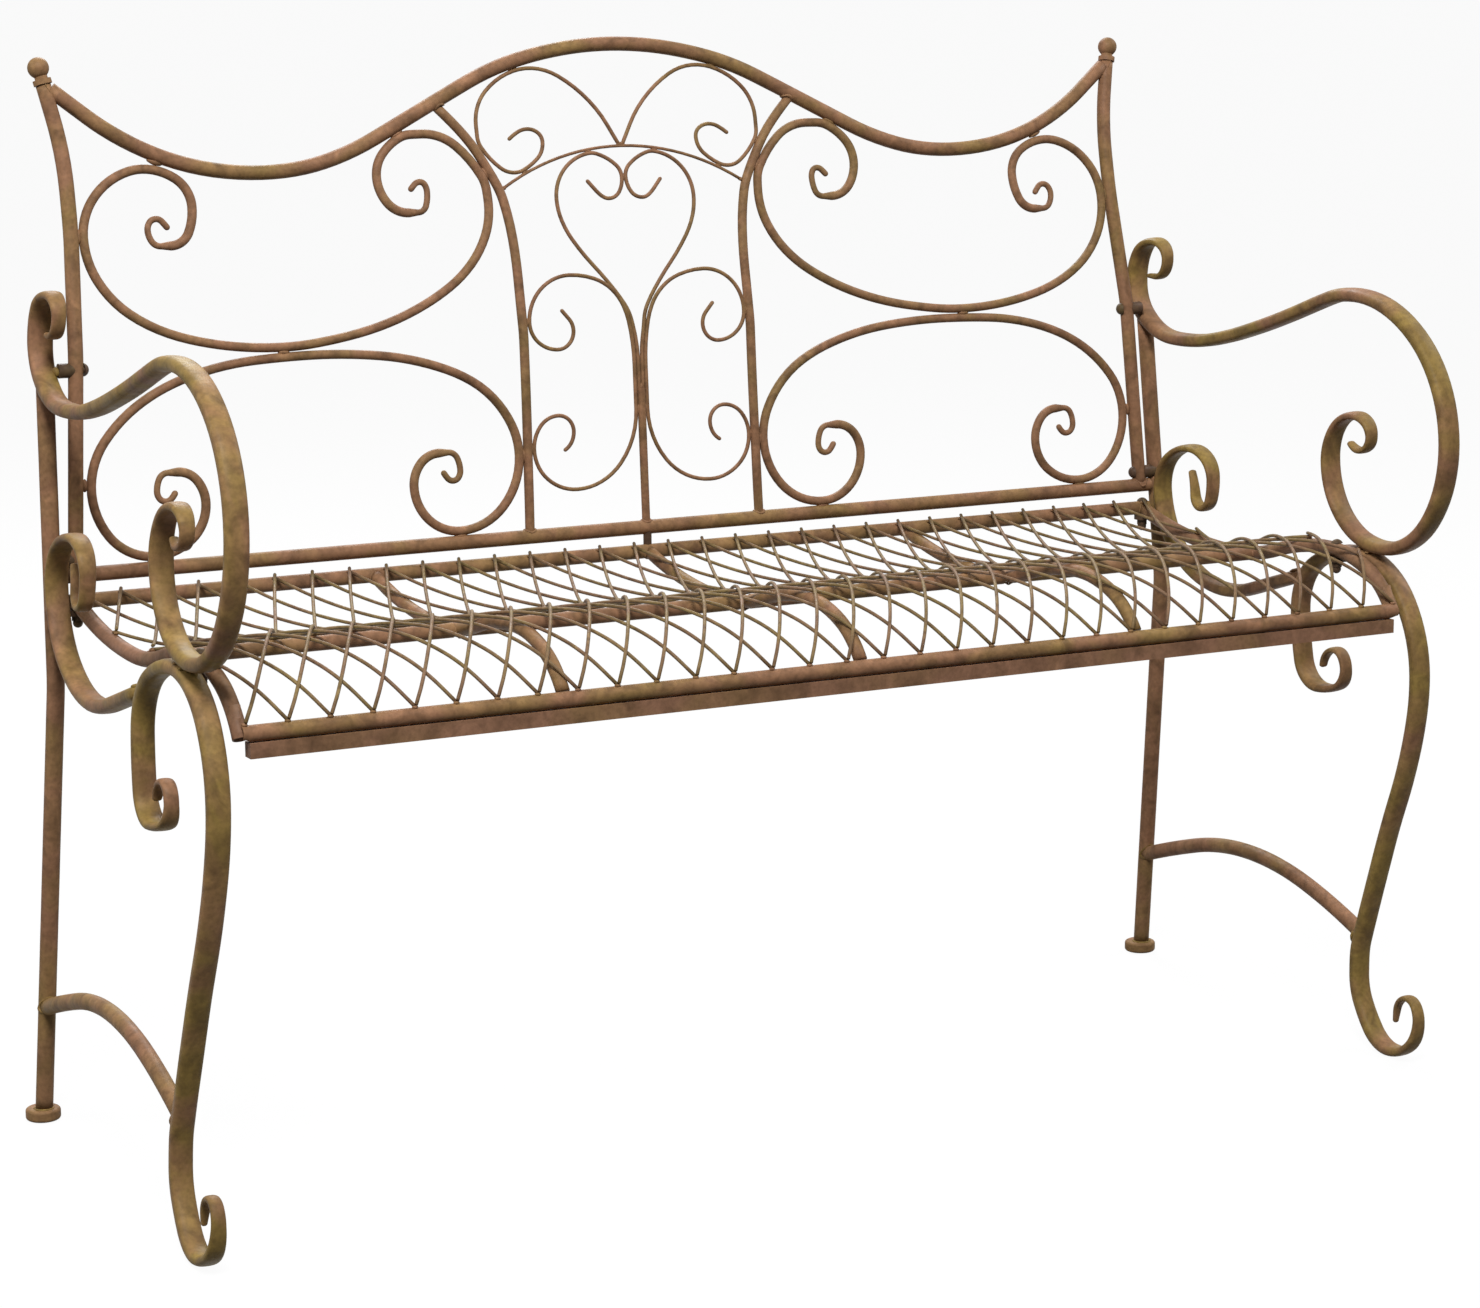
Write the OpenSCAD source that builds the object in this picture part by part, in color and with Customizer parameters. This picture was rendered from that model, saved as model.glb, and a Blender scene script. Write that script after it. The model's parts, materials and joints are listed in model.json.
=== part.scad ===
// Steel garden bench: a knock-down frame of bent tube and rod, bolted together at the corners.
// Millimetres, +Z up. The origin is on the floor under the middle of the bench.
// The bench faces -Y, and its left side is -X.

/* [Overall] */
// Width over the rear feet
bench_w = 1232; // [1100:4:1500]
// Height over the middle of the top rail
bench_h = 969; // [900:3:1050]
// Depth from the front curl of the arms to the back of the top rail
bench_d = 554; // [500:2:620]

/* [Tube and rod] */
// Diameter of the seat and back tubes
rail_d = 13.5; // [11:0.5:16]
// Diameter of the rear leg tubes
leg_d = 16; // [14:0.5:19]
// Width of the flattened tube of the side frames
strip_w = 20; // [17:0.5:23]
// Thickness of the flattened tube of the side frames
strip_t = 13; // [10:0.5:14]
// Diameter of the large scroll rods
scroll_d = 8.5; // [6:0.5:9.5]
// Diameter of the thin rods of the middle panel
fine_d = 3.8; // [3:0.1:4]
// Diameter of the seat lattice wire
wire_d = 3.2; // [2.4:0.1:3.6]

/* [Seat lattice] */
// Lattice points from the middle to one end of the seat
lattice_points = 15; // [12:1:20]
// Lattice points that a wire passes from the rear rail to the front rail
lattice_shift = 5; // [3:1:6]

/* [Hidden] */
$fn = 48;
touch = 0.2;
tube_wall = 1.5;
rail_bore = rail_d - 2 * tube_wall;
side_lean = 1.91;
foot_d = 32;
foot_h = 11;
foot_x = (bench_w - foot_d) / 2;

// The back has two flat planes that meet at the fold.
lower_tilt = 3.55;
upper_tilt = 11.5;
fold_r = 120;

// The knots below are read at this size, and the scales carry them to the size asked for.
read_foot_x = 600;
read_h = 968.5;
read_d = 554;
wide = foot_x / read_foot_x;
tall = bench_h / read_h;
deep = bench_d / read_d;

// A position across the bench that keeps its distance from the side frame.
function near(x) = foot_x - (read_foot_x - x);
fold_y = -32.4 * deep;
fold_z = 697 * tall;

// Moves the bench so that the middle of its depth is over the origin.
rear_foot_y = 248.7 * deep;

// Paths. A knot is [x, y, heading in degrees]. A piece is [x, y, heading, radius or length, turn].

function dir(a) = [cos(a), sin(a)];
function wrap(a) = a - 360 * round(a / 360);
function along(k, s) = [k.x + s * cos(k.z), k.y + s * sin(k.z), k.z];
function beside(k, s) = [k.x - s * sin(k.z), k.y + s * cos(k.z), k.z];
function turned(k, a = 180) = [k.x, k.y, k.z + a];

function piece(k, q) =
    let (c = [q.x - k.x, q.y - k.y], bend = wrap(atan2(c.y, c.x) - k.z))
    abs(bend) < 0.05
        ? [k.x, k.y, k.z, norm(c), 0]
        : [k.x, k.y, k.z, norm(c) / (2 * sin(abs(bend))), 2 * bend];

// Two arcs that leave knot a and arrive at knot b without a corner.
function two_arcs(a, b) =
    let (
        v = [b.x - a.x, b.y - a.y],
        t = dir(a.z) + dir(b.z),
        m = 2 * (1 - dir(a.z) * dir(b.z)),
        d = m < 1e-6 ? v * v / (2 * (v * t)) : (sqrt((v * t) ^ 2 + m * (v * v)) - v * t) / m,
        q = (along(a, d) + along(b, -d)) / 2,
        first = piece(a, q),
        second = piece([q.x, q.y, a.z + first[4]], b)
    )
    abs(first[4]) + abs(second[4]) < 0.1 ? [piece(a, b)] : [first, second];

function hub(p) = beside([p.x, p.y, p.z], sign(p[4]) * p[3]);

// The knot at a fraction f of a piece.
function part_way(p, f) =
    p[4] == 0
        ? along([p.x, p.y, p.z], f * p[3])
        : let (c = hub(p), a = p.z + f * p[4], r = sign(p[4]) * p[3])
            [c.x + r * sin(a), c.y - r * cos(a), a];

function cut_at(p, axis, value, lo = 0, hi = 1, steps = 24) =
    let (mid = (lo + hi) / 2, rise = part_way(p, mid)[axis] - value, low = part_way(p, lo)[axis] - value)
    steps == 0 ? mid
        : rise * low <= 0 ? cut_at(p, axis, value, lo, mid, steps - 1)
        : cut_at(p, axis, value, mid, hi, steps - 1);

// The first knot of a line of pieces where coordinate 0 or 1 has the value.
function knot_at(pieces, axis, value) =
    [for (p = pieces)
        if ((part_way(p, 0)[axis] - value) * (part_way(p, 1)[axis] - value) <= 0)
            part_way(p, cut_at(p, axis, value))][0];

function knot_at_x(pieces, x) = knot_at(pieces, 0, x);
function knot_at_y(pieces, y) = knot_at(pieces, 1, y);

// Sweeps. Every ring of a sweep has the same number of points.

module sweep(rings) {
    n = len(rings[0]);
    last = len(rings) - 1;
    sides = [for (i = [0 : last - 1]) for (j = [0 : n - 1])
        let (a = i * n + j, b = i * n + (j + 1) % n)
        each [[a, a + n, b], [b, a + n, b + n]]];
    start_cap = [for (j = [0 : n - 1]) j];
    end_cap = [for (j = [0 : n - 1]) last * n + n - 1 - j];
    polyhedron([for (r = rings) each r], concat([start_cap], sides, [end_cap]));
}

// Stations along a line of knots [x, y, heading, width, thickness]. Between two stations an arc is
// drawn as a chord, which leaves the arc by no more than the sag.
function chord_count(p, sag) =
    p[4] == 0 ? 1 : max(1, round(abs(p[4]) / (2 * acos(max(0.5, 1 - sag / p[3])))));

function span_stations(a, b, sag) =
    let (arcs = two_arcs(a, b), whole = len(arcs))
    [for (j = [0 : whole - 1])
        let (steps = chord_count(arcs[j], sag))
        for (i = [0 : steps - 1])
            let (f = (j + i / steps) / whole, k = part_way(arcs[j], i / steps))
            [k.x, k.y, k.z, a[3] + f * (b[3] - a[3]), a[4] + f * (b[4] - a[4])]];

function stations(knots, sag) =
    concat(
        [for (i = [0 : len(knots) - 2]) each span_stations(knots[i], knots[i + 1], sag)],
        [knots[len(knots) - 1]]
    );

// The straight pieces that a rod along these knots is drawn with, for what lies against it.
function chords(knots, sag = rod_sag) =
    let (line = stations(with_d(knots, 0), sag))
    [for (i = [0 : len(line) - 2])
        let (v = [line[i + 1].x - line[i].x, line[i + 1].y - line[i].y])
        [line[i].x, line[i].y, atan2(v.y, v.x), norm(v), 0]];

// Round rods. The thickness of the rod sets how many sides it is drawn with.
rod_sag = 0.7;
function with_d(knots, d) = [for (k = knots) [k.x, k.y, k.z, d, d]];
function sides_for(d) = d > 10 ? 12 : d > 5 ? 8 : 6;

function round_ring(g, sides) =
    [for (i = [0 : sides - 1])
        let (a = 360 * i / sides, p = beside(g, g[4] / 2 * cos(a)))
        [p.x, p.y, g[3] / 2 * sin(a)]];

// A rod along a line of knots [x, y, heading] in the XY plane.
module rod(knots, d, sag = rod_sag) {
    rod_of(with_d(knots, d), d, sag);
}

// The same for knots that each have a diameter of their own, such as those of a drawn-out end.
module rod_of(knots, d, sag = rod_sag) {
    sweep([for (g = stations(knots, sag)) round_ring(g, sides_for(d))]);
}

module straight_rod(length, d) {
    rotate([0, 90, 0])
        cylinder(h = length, d = d);
}

// A long cutter through a knot of a planar rod, for an end that is coped to the rod.
module cope(k, d, length = 60) {
    translate([k.x, k.y, 0])
        rotate([0, 0, k.z])
            translate([-length / 2, 0, 0])
                straight_rod(length, d + 2 * touch);
}

// The knots of a scroll's end, which tapers over a short length and then stays thin.
taper = 9;
function drawn_end(k, rest, tip_d) = with_d(concat([along(k, taper)], rest), tip_d);
function backwards(knots) =
    [for (i = [len(knots) - 1 : -1 : 0]) let (k = knots[i]) [k.x, k.y, k.z + 180, k[3], k[4]]];

// Flattened tube. Each knot adds a width across the frame and a thickness within it.

strip_sides = 10;
strip_sag = 0.6;
strip_round = 0.72;

function rounded(v) = sign(v) * abs(v) ^ strip_round;

function strip_ring(g) =
    [for (i = [0 : strip_sides - 1])
        let (
            a = 360 * (i + 0.5) / strip_sides,
            p = beside(g, g[4] / 2 * rounded(cos(a)) / rounded(cos(180 / strip_sides)))
        )
        [p.x, p.y, g[3] / 2 * rounded(sin(a))]];

module strip(knots) {
    sweep([for (g = stations(knots, strip_sag)) strip_ring(g)]);
}

// Where things are.

module mirrored() {
    mirror([1, 0, 0])
        children();
}

module centred() {
    translate([0, rear_foot_y, 0])
        children();
}

module on_back(tilt) {
    translate([0, fold_y, fold_z])
        rotate([90 - tilt, 0, 0])
            children();
}

module on_lower() {
    on_back(lower_tilt)
        children();
}

module on_upper() {
    on_back(upper_tilt)
        children();
}

// The plane of the right side frame: path x runs along the bench's depth and path y runs up.
module on_side() {
    translate([foot_x, 0, 0])
        rotate([0, -side_lean, 0])
            rotate([90, 0, 90])
                children();
}

function side_x(z) = foot_x - z * tan(side_lean);

function scaled(heading, across, up) = atan2(up * sin(heading), across * cos(heading));
function low(x, z, a) = [x * wide, (z * tall - fold_z) / cos(lower_tilt), scaled(a, wide, tall)];
function up(x, z, a) = [x * wide, (z * tall - fold_z) / cos(upper_tilt), scaled(a, wide, tall)];
function up_near(x, z, a) = [near(x), up(0, z, 0).y, a];
function side(y, z, a) = [y * deep, z * tall, scaled(a, deep, tall)];

function lower_y(z) = fold_y + (z - fold_z) * tan(lower_tilt);

// The lengths of a rod that its bend at the fold takes up on each side.
function fold_cos(a) = cos(a) ^ 2 + sin(a) ^ 2 * cos(upper_tilt - lower_tilt);
function fold_cut(a) = fold_r * tan(acos(fold_cos(a)) / 2);
function below_fold(x, a) = along([x, 0, a], -fold_cut(a));
function above_fold(x, a) = along([x, 0, a], fold_cut(a));

// A point of a tilted back plane, in the bench's own directions.
function from_back(p, tilt) =
    [
        p.x,
        fold_y + p.y * sin(tilt) - p.z * cos(tilt),
        fold_z + p.y * cos(tilt) + p.z * sin(tilt)
    ];

function back_rings(knots, d, tilt) =
    [for (g = stations(with_d(knots, d), rod_sag))
        [for (p = round_ring(g, sides_for(d))) from_back(p, tilt)]];

// A rod that starts in the lower back plane and goes on in the upper one.
module folded_rod(low_knots, high_knots, d) {
    sweep(concat(back_rings(low_knots, d, lower_tilt), back_rings(high_knots, d, upper_tilt)));
}

// Back panel: uprights and rails.

upright_lean = 3.65;
upright_fold_x = near(550.4);
bottom_rail_z = 507.7;
finial_ball_d = 19;
collar_h = 4.5;

function upright_low() =
    let (k = below_fold(upright_fold_x, 90 + upright_lean), foot = low(0, bottom_rail_z, 90))
    [along(k, (foot.y - k.y) / cos(upright_lean)), k];
function upright_high() =
    let (k = above_fold(upright_fold_x, 90 + upright_lean))
    [k, up_near(544.3, 790, 90 + upright_lean), up_near(543, 845, 90), up_near(549.8, 910, 78.5),
     up_near(554.8, 935, 78.5)];
function upright_top() = upright_high()[4];

module upright(d) {
    folded_rod(upright_low(), upright_high(), d);
}

function top_rail_half() =
    [up(0, 962, 0), up(100, 948.5, -15.3), up(200, 905, -27.2), up(300, 861, -15.5), up(360, 853.3, 0),
     up(450, 868.6, 20.5), up(505, 896.8, 34.5), up_near(532, 917.4, 38.5), up_near(549, 931, 38.5)];
function top_rail_at(x) = knot_at_x(chords(top_rail_half()), x * wide);
function under_top_rail(x, d) = beside(top_rail_at(x), -(rail_d + d) / 2 - touch);
function left_half(half) = [for (i = [len(half) - 1 : -1 : 1]) let (k = half[i]) [-k.x, k.y, -k.z]];
function both_halves(half) = concat(left_half(half), half);

bottom_rail_half = near(573);

module bottom_rail(d) {
    on_lower()
        translate([-bottom_rail_half, low(0, bottom_rail_z, 0).y, 0])
            straight_rod(2 * bottom_rail_half, d);
}

module bottom_rail_cut() {
    bottom_rail(rail_d + 2 * touch);
}

module back_top_rail() {
    k = upright_high()[3];
    color("#8a6f4c")
        centred()
            on_upper()
                difference() {
                    rod(both_halves(top_rail_half()), rail_d);
                    cope(k, rail_d);
                    mirrored()
                        cope(k, rail_d);
                }
}

module back_bottom_rail() {
    color("#8a6f4c")
        centred()
            difference() {
                bottom_rail(rail_d);
                bottom_rail(rail_bore);
            }
}

module one_upright() {
    color("#8f7750")
        centred()
            difference() {
                upright(rail_d);
                bottom_rail_cut();
                back_bolt_holes();
            }
}

module back_upright_right() {
    one_upright();
}

module back_upright_left() {
    mirrored()
        one_upright();
}

// A turned collar and ball that stand on the end of an upright.
module one_finial() {
    k = upright_top();
    color("#8f7750")
        centred()
            on_upper()
                translate([k.x, k.y, 0])
                    rotate([0, 0, k.z])
                        rotate([0, 90, 0]) {
                            cylinder(h = collar_h, d = rail_d + 3);
                            cylinder(h = collar_h + 3, d = rail_d - 2);
                            translate([0, 0, collar_h + 1 + finial_ball_d / 2])
                                sphere(d = finial_ball_d);
                        }
}

module finial_right() {
    one_finial();
}

module finial_left() {
    mirrored()
        one_finial();
}

// Back panel: the bent rods beside the middle panel.

inner_d = 9;
inner_fold_x = 119.3 * wide;
rail_reach = (rail_d + inner_d) / 2;

function inner_low() =
    [low(121.5, bottom_rail_z, 91.5), low(120, 600, 91), below_fold(inner_fold_x, 90)];
function inner_high() =
    [above_fold(inner_fold_x, 90), up(119.3, 750, 90), up(126.3, 819.6, 77), up(139, 848.8, 61),
     up(158.6, 879.4, 51.5), up(187.5, 910, 45)];

module one_inner_vertical() {
    color("#86694a")
        centred()
            difference() {
                folded_rod(inner_low(), inner_high(), inner_d);
                bottom_rail_cut();
                on_upper()
                    cope(top_rail_at(187.5), rail_d);
            }
}

module inner_vertical_right() {
    one_inner_vertical();
}

module inner_vertical_left() {
    mirrored()
        one_inner_vertical();
}

function right_of_inner(k, d) = beside(k, -(inner_d + d) / 2 - touch);
function left_of_inner(k, d) = beside(k, (inner_d + d) / 2 + touch);
function inner_at_low(z) = knot_at_y(chords(inner_low()), low(0, z, 0).y);
function inner_at_high(z) = knot_at_y(chords(inner_high()), up(0, z, 0).y);

// Back panel: the long scrolls.

scroll_tip_d = 0.68 * scroll_d;
scroll_reach = (rail_d + scroll_d) / 2 + touch;
upright_gap = scroll_reach / cos(upright_lean);

function upright_at_low(z) = knot_at_y(chords(upright_low()), low(0, z, 0).y);
function upright_at_high(z) = knot_at_y(chords(upright_high()), up(0, z, 0).y);
function on_bottom_rail(x, a, d) = low(x, bottom_rail_z, a) + [0, (rail_d + d) / 2 + touch, 0];

function lower_crest() = low(330, 689.4, 0);

// The lower scroll stops short of the upright by the thickness of a weld bead.
weld_gap = 3;

function lower_scroll_path() =
    [
        turned(low(210, 592.5, 180)),
        low(236.4, 563.5, 270),
        on_bottom_rail(192, 180, scroll_d),
        right_of_inner(inner_at_low(584), scroll_d),
        low(153, 639.8, 47),
        low(198.8, 669, 21),
        lower_crest(),
        low(440.8, 678.4, -15.3),
        low(497.7, 652.9, -34.5),
        turned(beside(upright_at_low(586), scroll_reach + weld_gap)),
        on_bottom_rail(488, 180, scroll_d),
        low(438, 563, 90),
        low(463, 592.5, 0)
    ];

function lower_scroll_knots() =
    let (k = lower_scroll_path(), last = k[len(k) - 1])
    concat(
        backwards(drawn_end(
            turned(k[0]),
            [low(189.5, 575, 270), low(197, 566, 0), low(206, 573.5, 60)],
            scroll_tip_d
        )),
        with_d(k, scroll_d),
        drawn_end(
            last,
            [low(483, 576, 270), low(475, 567, 180), low(466.5, 573.5, 120)],
            scroll_tip_d
        )
    );

function upper_scroll_path() =
    [
        up(222, 812.5, 0),
        up(250.4, 845, 90),
        turned(under_top_rail(230, scroll_d)),
        up(201, 883.3, 180),
        turned(right_of_inner(inner_at_high(848), scroll_d)),
        up(141.8, 818, 270),
        up(165.3, 763.4, -47.5),
        up(215.4, 729, -25.8),
        up(291.2, 705, -10.3),
        [357 * wide, lower_crest().y + scroll_d + touch, 0],
        up(444.6, 709.5, 15.5),
        up(497.3, 734.2, 37),
        beside(upright_at_high(803), scroll_reach),
        up(496.9, 854, 154),
        up(473, 859.9, 180),
        up(429.7, 826, 270),
        up(453, 792, 0)
    ];

function upper_scroll_knots() =
    let (k = upper_scroll_path(), last = k[len(k) - 1])
    concat(
        backwards(drawn_end(
            turned(k[0]),
            [up(202, 831, 90), up(208.5, 840, 0), up(217.5, 834, -50)],
            scroll_tip_d
        )),
        with_d(k, scroll_d),
        drawn_end(
            last,
            [up(473, 806, 90), up(464.5, 816, 180), up(455, 808.5, 235)],
            scroll_tip_d
        )
    );

module one_lower_scroll() {
    color("#84664a")
        centred()
            on_lower()
                rod_of(lower_scroll_knots(), scroll_d);
}

module one_upper_scroll() {
    color("#84664a")
        centred()
            on_upper()
                rod_of(upper_scroll_knots(), scroll_d);
}

module lower_scroll_right() {
    one_lower_scroll();
}

module lower_scroll_left() {
    mirrored()
        one_lower_scroll();
}

module upper_scroll_right() {
    one_upper_scroll();
}

module upper_scroll_left() {
    mirrored()
        one_upper_scroll();
}

// Back panel: the middle panel of thin rods.

stem_d = 7.8;
arc_d = 3;
stem_top_z = 640;
heart_fold_a = 80;
heart_fold_x = fine_d / 2 + touch / 2 + 3.2;

module center_rod() {
    foot = low(0, bottom_rail_z, 0);
    top = low(0, stem_top_z, 0);
    color("#7d6044")
        centred()
            difference() {
                on_lower()
                    translate([0, foot.y, 0])
                        rotate([0, 0, 90])
                            straight_rod(top.y - foot.y, stem_d);
                bottom_rail_cut();
            }
}

function arc_half() = [up(0, 867, 0), up(129, 829, -33)];

module center_arc() {
    color("#7d6044")
        centred()
            on_upper()
                difference() {
                    rod(both_halves(arc_half()), arc_d);
                    cope(inner_at_high(833), inner_d);
                    mirrored()
                        cope(inner_at_high(833), inner_d);
                }
}

function arc_at(x) = knot_at_x(chords(arc_half()), x * wide);

function heart_low() =
    [[fine_d / 2 + touch / 2, low(0, stem_top_z, 0).y + touch, 90],
     [fine_d / 2 + touch / 2, low(0, stem_top_z + 12, 0).y, 90],
     below_fold(heart_fold_x, heart_fold_a)];
function heart_high() =
    [
        above_fold(heart_fold_x, heart_fold_a),
        up(21, 733, 54),
        up(60, 782, 57),
        up(72, 819, 90),
        turned(beside(arc_at(35), -(arc_d + fine_d) / 2 - touch)),
        up(18, 857, 207),
        [fine_d / 2 + touch / 2, up(0, 838, 0).y, 270],
        up(17.5, 818.5, 0),
        up(26, 822, 40),
        up(38, 835, 47)
    ];

module one_heart_rod() {
    color("#7d6044")
        centred()
            folded_rod(heart_low(), heart_high(), fine_d);
}

module heart_rod_right() {
    one_heart_rod();
}

module heart_rod_left() {
    mirrored()
        one_heart_rod();
}

function center_scroll_path() =
    [
        low(79, 717, 226),
        low(68, 698, 270),
        low(84.5, 681.2, 0),
        [inner_fold_x - (inner_d + fine_d) / 2, low(0, 708, 0).y, 90],
        low(70.5, 750, 180),
        low(23, 731, 229),
        low(10.2, 704, 258),
        [(stem_d + fine_d) / 2 + touch, low(0, 621, 0).y, 270],
        low(70.5, 549, 0),
        left_of_inner(inner_at_low(590), fine_d),
        low(87.5, 619.5, 180),
        low(72, 604, 270),
        low(81.5, 587, 330)
    ];

module one_center_scroll() {
    color("#7d6044")
        centred()
            on_lower()
                rod(center_scroll_path(), fine_d);
}

module center_scroll_right() {
    one_center_scroll();
}

module center_scroll_left() {
    mirrored()
        one_center_scroll();
}

function volute_path() =
    [
        beside(arc_at(3), (arc_d + fine_d) / 2 + touch) + [0, 0, 62],
        up(22, 902, 52),
        under_top_rail(106, fine_d),
        up(146.5, 890, 270),
        turned(left_of_inner(inner_at_high(866), fine_d)),
        turned(beside(arc_at(101), (arc_d + fine_d) / 2 + touch)),
        up(80.5, 873, 90),
        up(95, 885, 0),
        up(114, 876.5, -40)
    ];

module one_volute() {
    color("#7d6044")
        centred()
            on_upper()
                rod(volute_path(), fine_d);
}

module top_volute_right() {
    one_volute();
}

module top_volute_left() {
    mirrored()
        one_volute();
}

// Side frames. Every knot of a strip is [depth, height, heading, width, thickness].

// The strip is pressed wide and thin at the scrolls and drawn out to a narrow tip.
function drawn(k, w, t) = [k.x, k.y, k.z, w * strip_w, t * strip_t];
function full(k) = drawn(k, 1, 1);
function flat(k) = drawn(k, 1.07, 0.62);
function mid(k) = drawn(k, 0.88, 0.6);
function slim(k) = drawn(k, 0.65, 0.46);
function tip(k) = drawn(k, 0.42, 0.36);
flat_t = flat([0, 0, 0])[4];
foot_press = 0.8;
foot_line_z = foot_press * strip_t / 2 + 0.3;

// The arm's front curl and the front leg's upper curl are welded back to back here.
function curl_weld() = side(-401, 489.1, 10);
function leg_weld() = turned(beside(curl_weld(), -(strip_t + touch) / 2));
function arm_weld() = beside(curl_weld(), (strip_t + touch) / 2);

function arm_rear_bow() = [side(-13.5, 713, 270), side(-59, 665, 196)];
function arm_knots() =
    [
        tip(side(-38, 721.5, 180)),
        slim(side(-51, 721.5, 180)),
        slim(side(-69.5, 741, 90)),
        mid(side(-50, 757, 0)),
        flat(side(-26, 747.5, -48)),
        full(arm_rear_bow()[0]),
        full(arm_rear_bow()[1]),
        full(side(-105, 661.5, 178)),
        full(side(-200, 677.5, 165)),
        full(side(-300, 708, 161)),
        full(side(-345, 723, 163)),
        full(side(-384, 728, 180)),
        full(side(-519.4, 602, 270)),
        full(side(-421, 493.8, 0)),
        full(arm_weld()),
        flat(side(-340.5, 568, 90)),
        mid(side(-383, 614.5, 180)),
        slim(side(-404.5, 597, 270)),
        slim(side(-387, 582, 0)),
        tip(side(-373, 587, 35))
    ];

function leg_crest() = side(-385, 484, 180);
function leg_shin() = [side(-422.7, 200, -69.8), side(-388, 104, -71)];
function leg_upper_bow() = [side(-291.5, 415, 90), leg_crest()];
function front_leg_knots() =
    [
        tip(side(-328, 366, 101)),
        slim(side(-350, 384, 180)),
        slim(side(-364, 367, 270)),
        flat(side(-325, 343, 0)),
        full(leg_upper_bow()[0]),
        full(leg_upper_bow()[1]),
        full(leg_weld()),
        full(side(-477, 380, 270)),
        full(side(-464.5, 308, -73)),
        full(leg_shin()[0]),
        full(leg_shin()[1]),
        full(side(-383.7, 68, -90)),
        full(side(-405, 19.6, -130)),
        drawn([-434 * deep, foot_line_z, 180], 1, foot_press),
        slim(side(-476, 45, 90)),
        drawn(side(-462, 63.5, 0), 0.57, 0.44),
        drawn(side(-443, 47, -80), 0.4, 0.38),
        drawn(side(-441, 37, -82), 0.28, 0.36)
    ];

function rear_leg_knots() =
    [side(-2.9, foot_h / tall, 96.83), side(-49.6, 400.8, 96.83), side(-49.9, 426.2, 84.7),
     side(-26, 690, 84.7)];
function rear_leg_at(z) = knot_at_y(chords(rear_leg_knots()), z);

function s_scroll_knots() =
    [
        tip(side(-109, 528, 250)),
        drawn(side(-127, 493.5, 180), 0.72, 0.5),
        drawn(side(-145.5, 525, 90), 0.75, 0.5),
        drawn(side(-112, 552.5, 0), 0.95, 0.6),
        flat(turned(beside(rear_leg_at(500 * tall), (leg_d + flat_t) / 2 + touch))),
        full(side(-165, 416, 180)),
        full(side(-210, 423, 163)),
        full(side(-300, 451, 163))
    ];

stretcher_d = 15;
function stretcher_knots() =
    [rear_leg_at(109 * tall) + [0, 0, 64], side(-205, 151.5, 180), side(-396, 107, 202)];

module one_arm() {
    color("#8f7a4b")
        centred()
            on_side()
                strip(arm_knots());
}

module one_front_leg() {
    color("#8f7a4b")
        centred()
            on_side()
                strip(front_leg_knots());
}

// A round cutter as deep as needed, for an end that meets the outside of a curved strip.
module bow_cutter(knots, t) {
    for (p = two_arcs(knots[0], knots[1])) {
        c = hub(p);
        translate([c.x, c.y, -40])
            cylinder(h = 80, r = p[3] + t / 2 + touch, $fn = 96);
    }
}

module one_s_scroll() {
    color("#8a6a4a")
        centred()
            on_side()
                difference() {
                    strip(s_scroll_knots());
                    bow_cutter(leg_upper_bow(), strip_t);
                }
}

module one_rear_leg() {
    color("#8a6f4c")
        centred()
            difference() {
                on_side()
                    difference() {
                        rod(rear_leg_knots(), leg_d);
                        bow_cutter(arm_rear_bow(), strip_t);
                    }
                translate([foot_x - 25, -25, foot_h - 40])
                    cube([50, 50, 40]);
            }
}

module one_rear_foot() {
    edge = 3;
    color("#6b5640")
        centred()
            translate([foot_x, 0, 0])
                rotate_extrude()
                    polygon(concat(
                        [[0, 0]],
                        [for (a = [-90 : 18 : 0]) [foot_d / 2 - edge, edge] + edge * dir(a)],
                        [for (a = [0 : 18 : 90]) [foot_d / 2 - edge, foot_h - edge] + edge * dir(a)],
                        [[0, foot_h]]
                    ));
}

module one_stretcher() {
    k = leg_shin()[1];
    color("#8a6f4c")
        centred()
            on_side()
                difference() {
                    rod(stretcher_knots(), stretcher_d);
                    cope(rear_leg_at(109 * tall), leg_d);
                    translate([k.x, k.y, 0])
                        rotate([0, 0, k.z])
                            translate([-60, strip_t / 2 + touch - 40, -20])
                                cube([120, 40, 40]);
                }
}

// Seat panel. The seat line is the middle of the side rails, as [distance forward, height].

seat_x = near(563);
seat_rear = [48 * deep, 485 * tall];
seat_front = [468 * deep, 442.5 * tall];
seat_open_end = side(466, 438, -62);
mid_rail_f = 245 * deep;

function seat_line() =
    [
        [seat_rear.x, seat_rear.y, -17],
        side(205, 462.5, 0),
        side(368, 487.8, 0),
        seat_open_end
    ];
function seat_line_z(f) = seat_line_at(f).y;

// Turns [forward, height] paths to stand in the bench, with path z along the bench's width.
module on_seat(x = 0) {
    translate([x, 0, 0])
        rotate([90, 0, -90])
            children();
}

seat_sag = 1.4;
function seat_line_at(f) = knot_at_x(chords(seat_line(), seat_sag), f);

module seat_line_rod(x, d) {
    on_seat(x)
        rod(seat_line(), d, seat_sag);
}

module cross_rod(f, z, half, d) {
    translate([-half, -f, z])
        straight_rod(2 * half, d);
}

module cross_tube(f, z, half) {
    difference() {
        cross_rod(f, z, half, rail_d);
        cross_rod(f, z, half + 1, rail_bore);
    }
}

module seat_rear_cut() {
    cross_rod(seat_rear.x, seat_rear.y, seat_x + 20, rail_d + 2 * touch);
}

module seat_front_cut() {
    cross_rod(seat_front.x, seat_front.y, seat_x + 20, rail_d + 2 * touch);
}

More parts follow.
